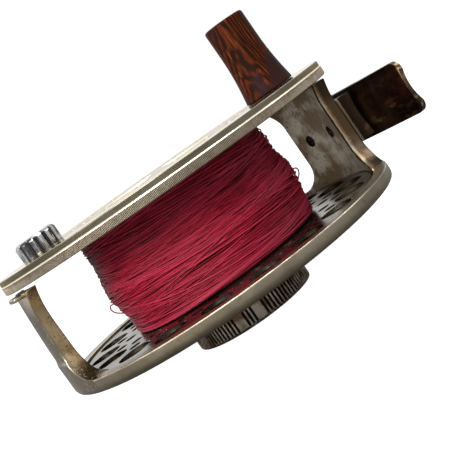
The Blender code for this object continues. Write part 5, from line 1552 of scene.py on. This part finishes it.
BRASS_BRIGHT = (0.58, 0.41, 0.17)
BRASS_TARNISHED = (0.33, 0.2, 0.08)
BRASS_RELIEF = 0.02 * MM
CORK_GRAIN = (0.42, 0.26, 0.13)
CORK_GAP = (0.13, 0.07, 0.035)
CORK_RELIEF = 0.1 * MM
STEEL_NODES = ("spindle", "spindle_screw_1", "spindle_screw_2", "spindle_screw_3", "pawl_pin", "spring_post",
               "pawl_spring", "drag_rod", "drag_spring", "pressure_plate", "flange_rivet_1",
               "flange_rivet_2", "flange_rivet_3", "flange_rivet_4", "ratchet_gear", "drag_disc",
               "counterweight_screw")
BRASS_NODES = ("thrust_washer", "click_pawl", "bush_lower", "bush_upper")


def turned_brass():
    """Bearing brass with lathe rings and brown tarnish."""
    finish, nodes = new_finish("bearing_brass")
    place = nodes.place()
    marks = turning_marks(nodes, place, 6000.0)
    tarnish = nodes.step(nodes.noise(place, 300.0, 4.0, 0.6), 0.4, 0.66)
    return set_shader(finish, Base_Color=nodes.mix(tarnish, BRASS_BRIGHT, BRASS_TARNISHED), Metallic=1.0,
                      Roughness=0.26 + marks * 0.16, Normal=bump(nodes, marks, 0.3, BRASS_RELIEF))


def pressed_cork():
    """Cork pad: pale grains with dark gaps."""
    finish, nodes = new_finish("pressed_cork")
    place = nodes.place()
    grains = nodes.node("ShaderNodeTexVoronoi", None, {"Vector": place, "Scale": 1100.0})
    gaps = nodes.ragged(grains, nodes.noise(place, 2500.0, 3.0, 0.6), 0.3, 0.35, 0.75)
    return set_shader(finish, Base_Color=nodes.mix(gaps, CORK_GRAIN, CORK_GAP), Roughness=0.85,
                      Normal=bump(nodes, grains, 0.5, CORK_RELIEF))


for finish, names in ((bright_steel, STEEL_NODES), (turned_brass(), BRASS_NODES),
                      (pressed_cork(), ("brake_pad",)), (flange_alloy, ("spool_drum",))):
    for name in names:
        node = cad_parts[name]
        node.data.materials.clear()
        node.data.materials.append(finish)


# Camera, floor and light
# The camera stands a little above the crank plate and is rolled, so that the reel looks tipped.
# A pale floor, a white surround and four soft lamps stand in for a light tent.

CAMERA_DISTANCE = 264.95 * MM
CAMERA_HEIGHT = 46.006 * MM
CAMERA_TURN = radians(20.703)
CAMERA_YAW = radians(1.2527)
CAMERA_PITCH = radians(5.318)
CAMERA_ROLL = radians(35.061)
CAMERA_CLIP = 10.0 * MM
SENSOR_WIDTH = 36.0
FOCAL_PIXELS = 1114.26
IMAGE_WIDTH = 450
FLOOR_HALF_SIZE = 3000.0 * MM
FLOOR_DROP = 0.05 * MM
FLOOR_GREY = (0.2, 0.2, 0.2)
SURROUND_GREY = (0.62, 0.62, 0.62)
WHITE = (1.0, 1.0, 1.0)
BLACK = (0.0, 0.0, 0.0)
LAMP_AIM = 25.0 * MM
LAMP_WHITE = (1.0, 0.97, 0.93)
LAMP_WARM = (1.0, 0.95, 0.88)
# Each lamp has a turn, a climb, a distance from the reel, a side, a power in watts and a colour.
LAMPS = {
    "key": (radians(-128), radians(32), 600.0 * MM, 300.0 * MM, 3.5, LAMP_WHITE),
    "top": (radians(-60), radians(78), 600.0 * MM, 350.0 * MM, 2.4, LAMP_WHITE),
    "side": (radians(-20), radians(30), 700.0 * MM, 250.0 * MM, 0.7, LAMP_WARM),
    "left": (radians(-168), radians(22), 600.0 * MM, 300.0 * MM, 1.6, LAMP_WHITE),
}

stand = Vector((-CAMERA_DISTANCE * sin(CAMERA_TURN), -CAMERA_DISTANCE * cos(CAMERA_TURN), CAMERA_HEIGHT))
heading = CAMERA_TURN + CAMERA_YAW
forward = Vector((sin(heading) * cos(CAMERA_PITCH), cos(heading) * cos(CAMERA_PITCH), -sin(CAMERA_PITCH)))
level = Vector((cos(heading), -sin(heading), 0))
upright = level.cross(forward)
across = level * cos(CAMERA_ROLL) - upright * sin(CAMERA_ROLL)
up = level * sin(CAMERA_ROLL) + upright * cos(CAMERA_ROLL)
camera_data = bpy.data.cameras.new("camera")
camera_data.sensor_width = SENSOR_WIDTH
camera_data.lens = FOCAL_PIXELS / IMAGE_WIDTH * SENSOR_WIDTH
camera_data.clip_start = CAMERA_CLIP
camera = added("camera", camera_data)
camera.matrix_world = Matrix.Translation(stand) @ Matrix((across, up, -forward)).transposed().to_4x4()
bpy.context.scene.camera = camera

floor_mesh = bpy.data.meshes.new("floor")
floor_corners = [(x * FLOOR_HALF_SIZE, y * FLOOR_HALF_SIZE, -FLOOR_DROP)
                 for x, y in ((-1, -1), (1, -1), (1, 1), (-1, 1))]
floor_mesh.from_pydata(floor_corners, [], [(0, 1, 2, 3)])
floor = added("floor", floor_mesh)
floor_paint, nodes = new_finish("floor_paint")
seen = nodes.node("ShaderNodeLightPath", output="Is Camera Ray")
set_shader(floor_paint, Base_Color=FLOOR_GREY, Roughness=1.0, Emission_Strength=1.0,
           Emission_Color=nodes.mix(seen, BLACK, WHITE))
floor.data.materials.append(floor_paint)

world = bpy.data.worlds.new("surround")
bpy.context.scene.world = world
world.use_nodes = True
nodes = Nodes(world.node_tree)
camera_ray, glossy_ray, clear_ray = (nodes.node("ShaderNodeLightPath", output=name) for name in (
    "Is Camera Ray", "Is Glossy Ray", "Is Transmission Ray"))
direct = nodes.maths("MINIMUM", camera_ray + glossy_ray + clear_ray, 1.0)
background = world.node_tree.nodes["Background"]
world.node_tree.links.new(nodes.mix(direct, SURROUND_GREY, WHITE).output, background.inputs["Color"])

for name, (turn, climb, distance, side, power, colour) in LAMPS.items():
    lamp_data = bpy.data.lights.new(name, "AREA")
    lamp_data.size = side
    lamp_data.energy = power
    lamp_data.color = colour
    lamp = added(name, lamp_data)
    back = Vector((cos(turn) * cos(climb), sin(turn) * cos(climb), sin(climb)))
    lamp.location = Vector((0, 0, LAMP_AIM)) + back * distance
    lamp.rotation_mode = "QUATERNION"
    lamp.rotation_quaternion = back.to_track_quat("Z", "Y")

bpy.context.scene.view_settings.view_transform = "Standard"
bpy.context.view_layer.update()
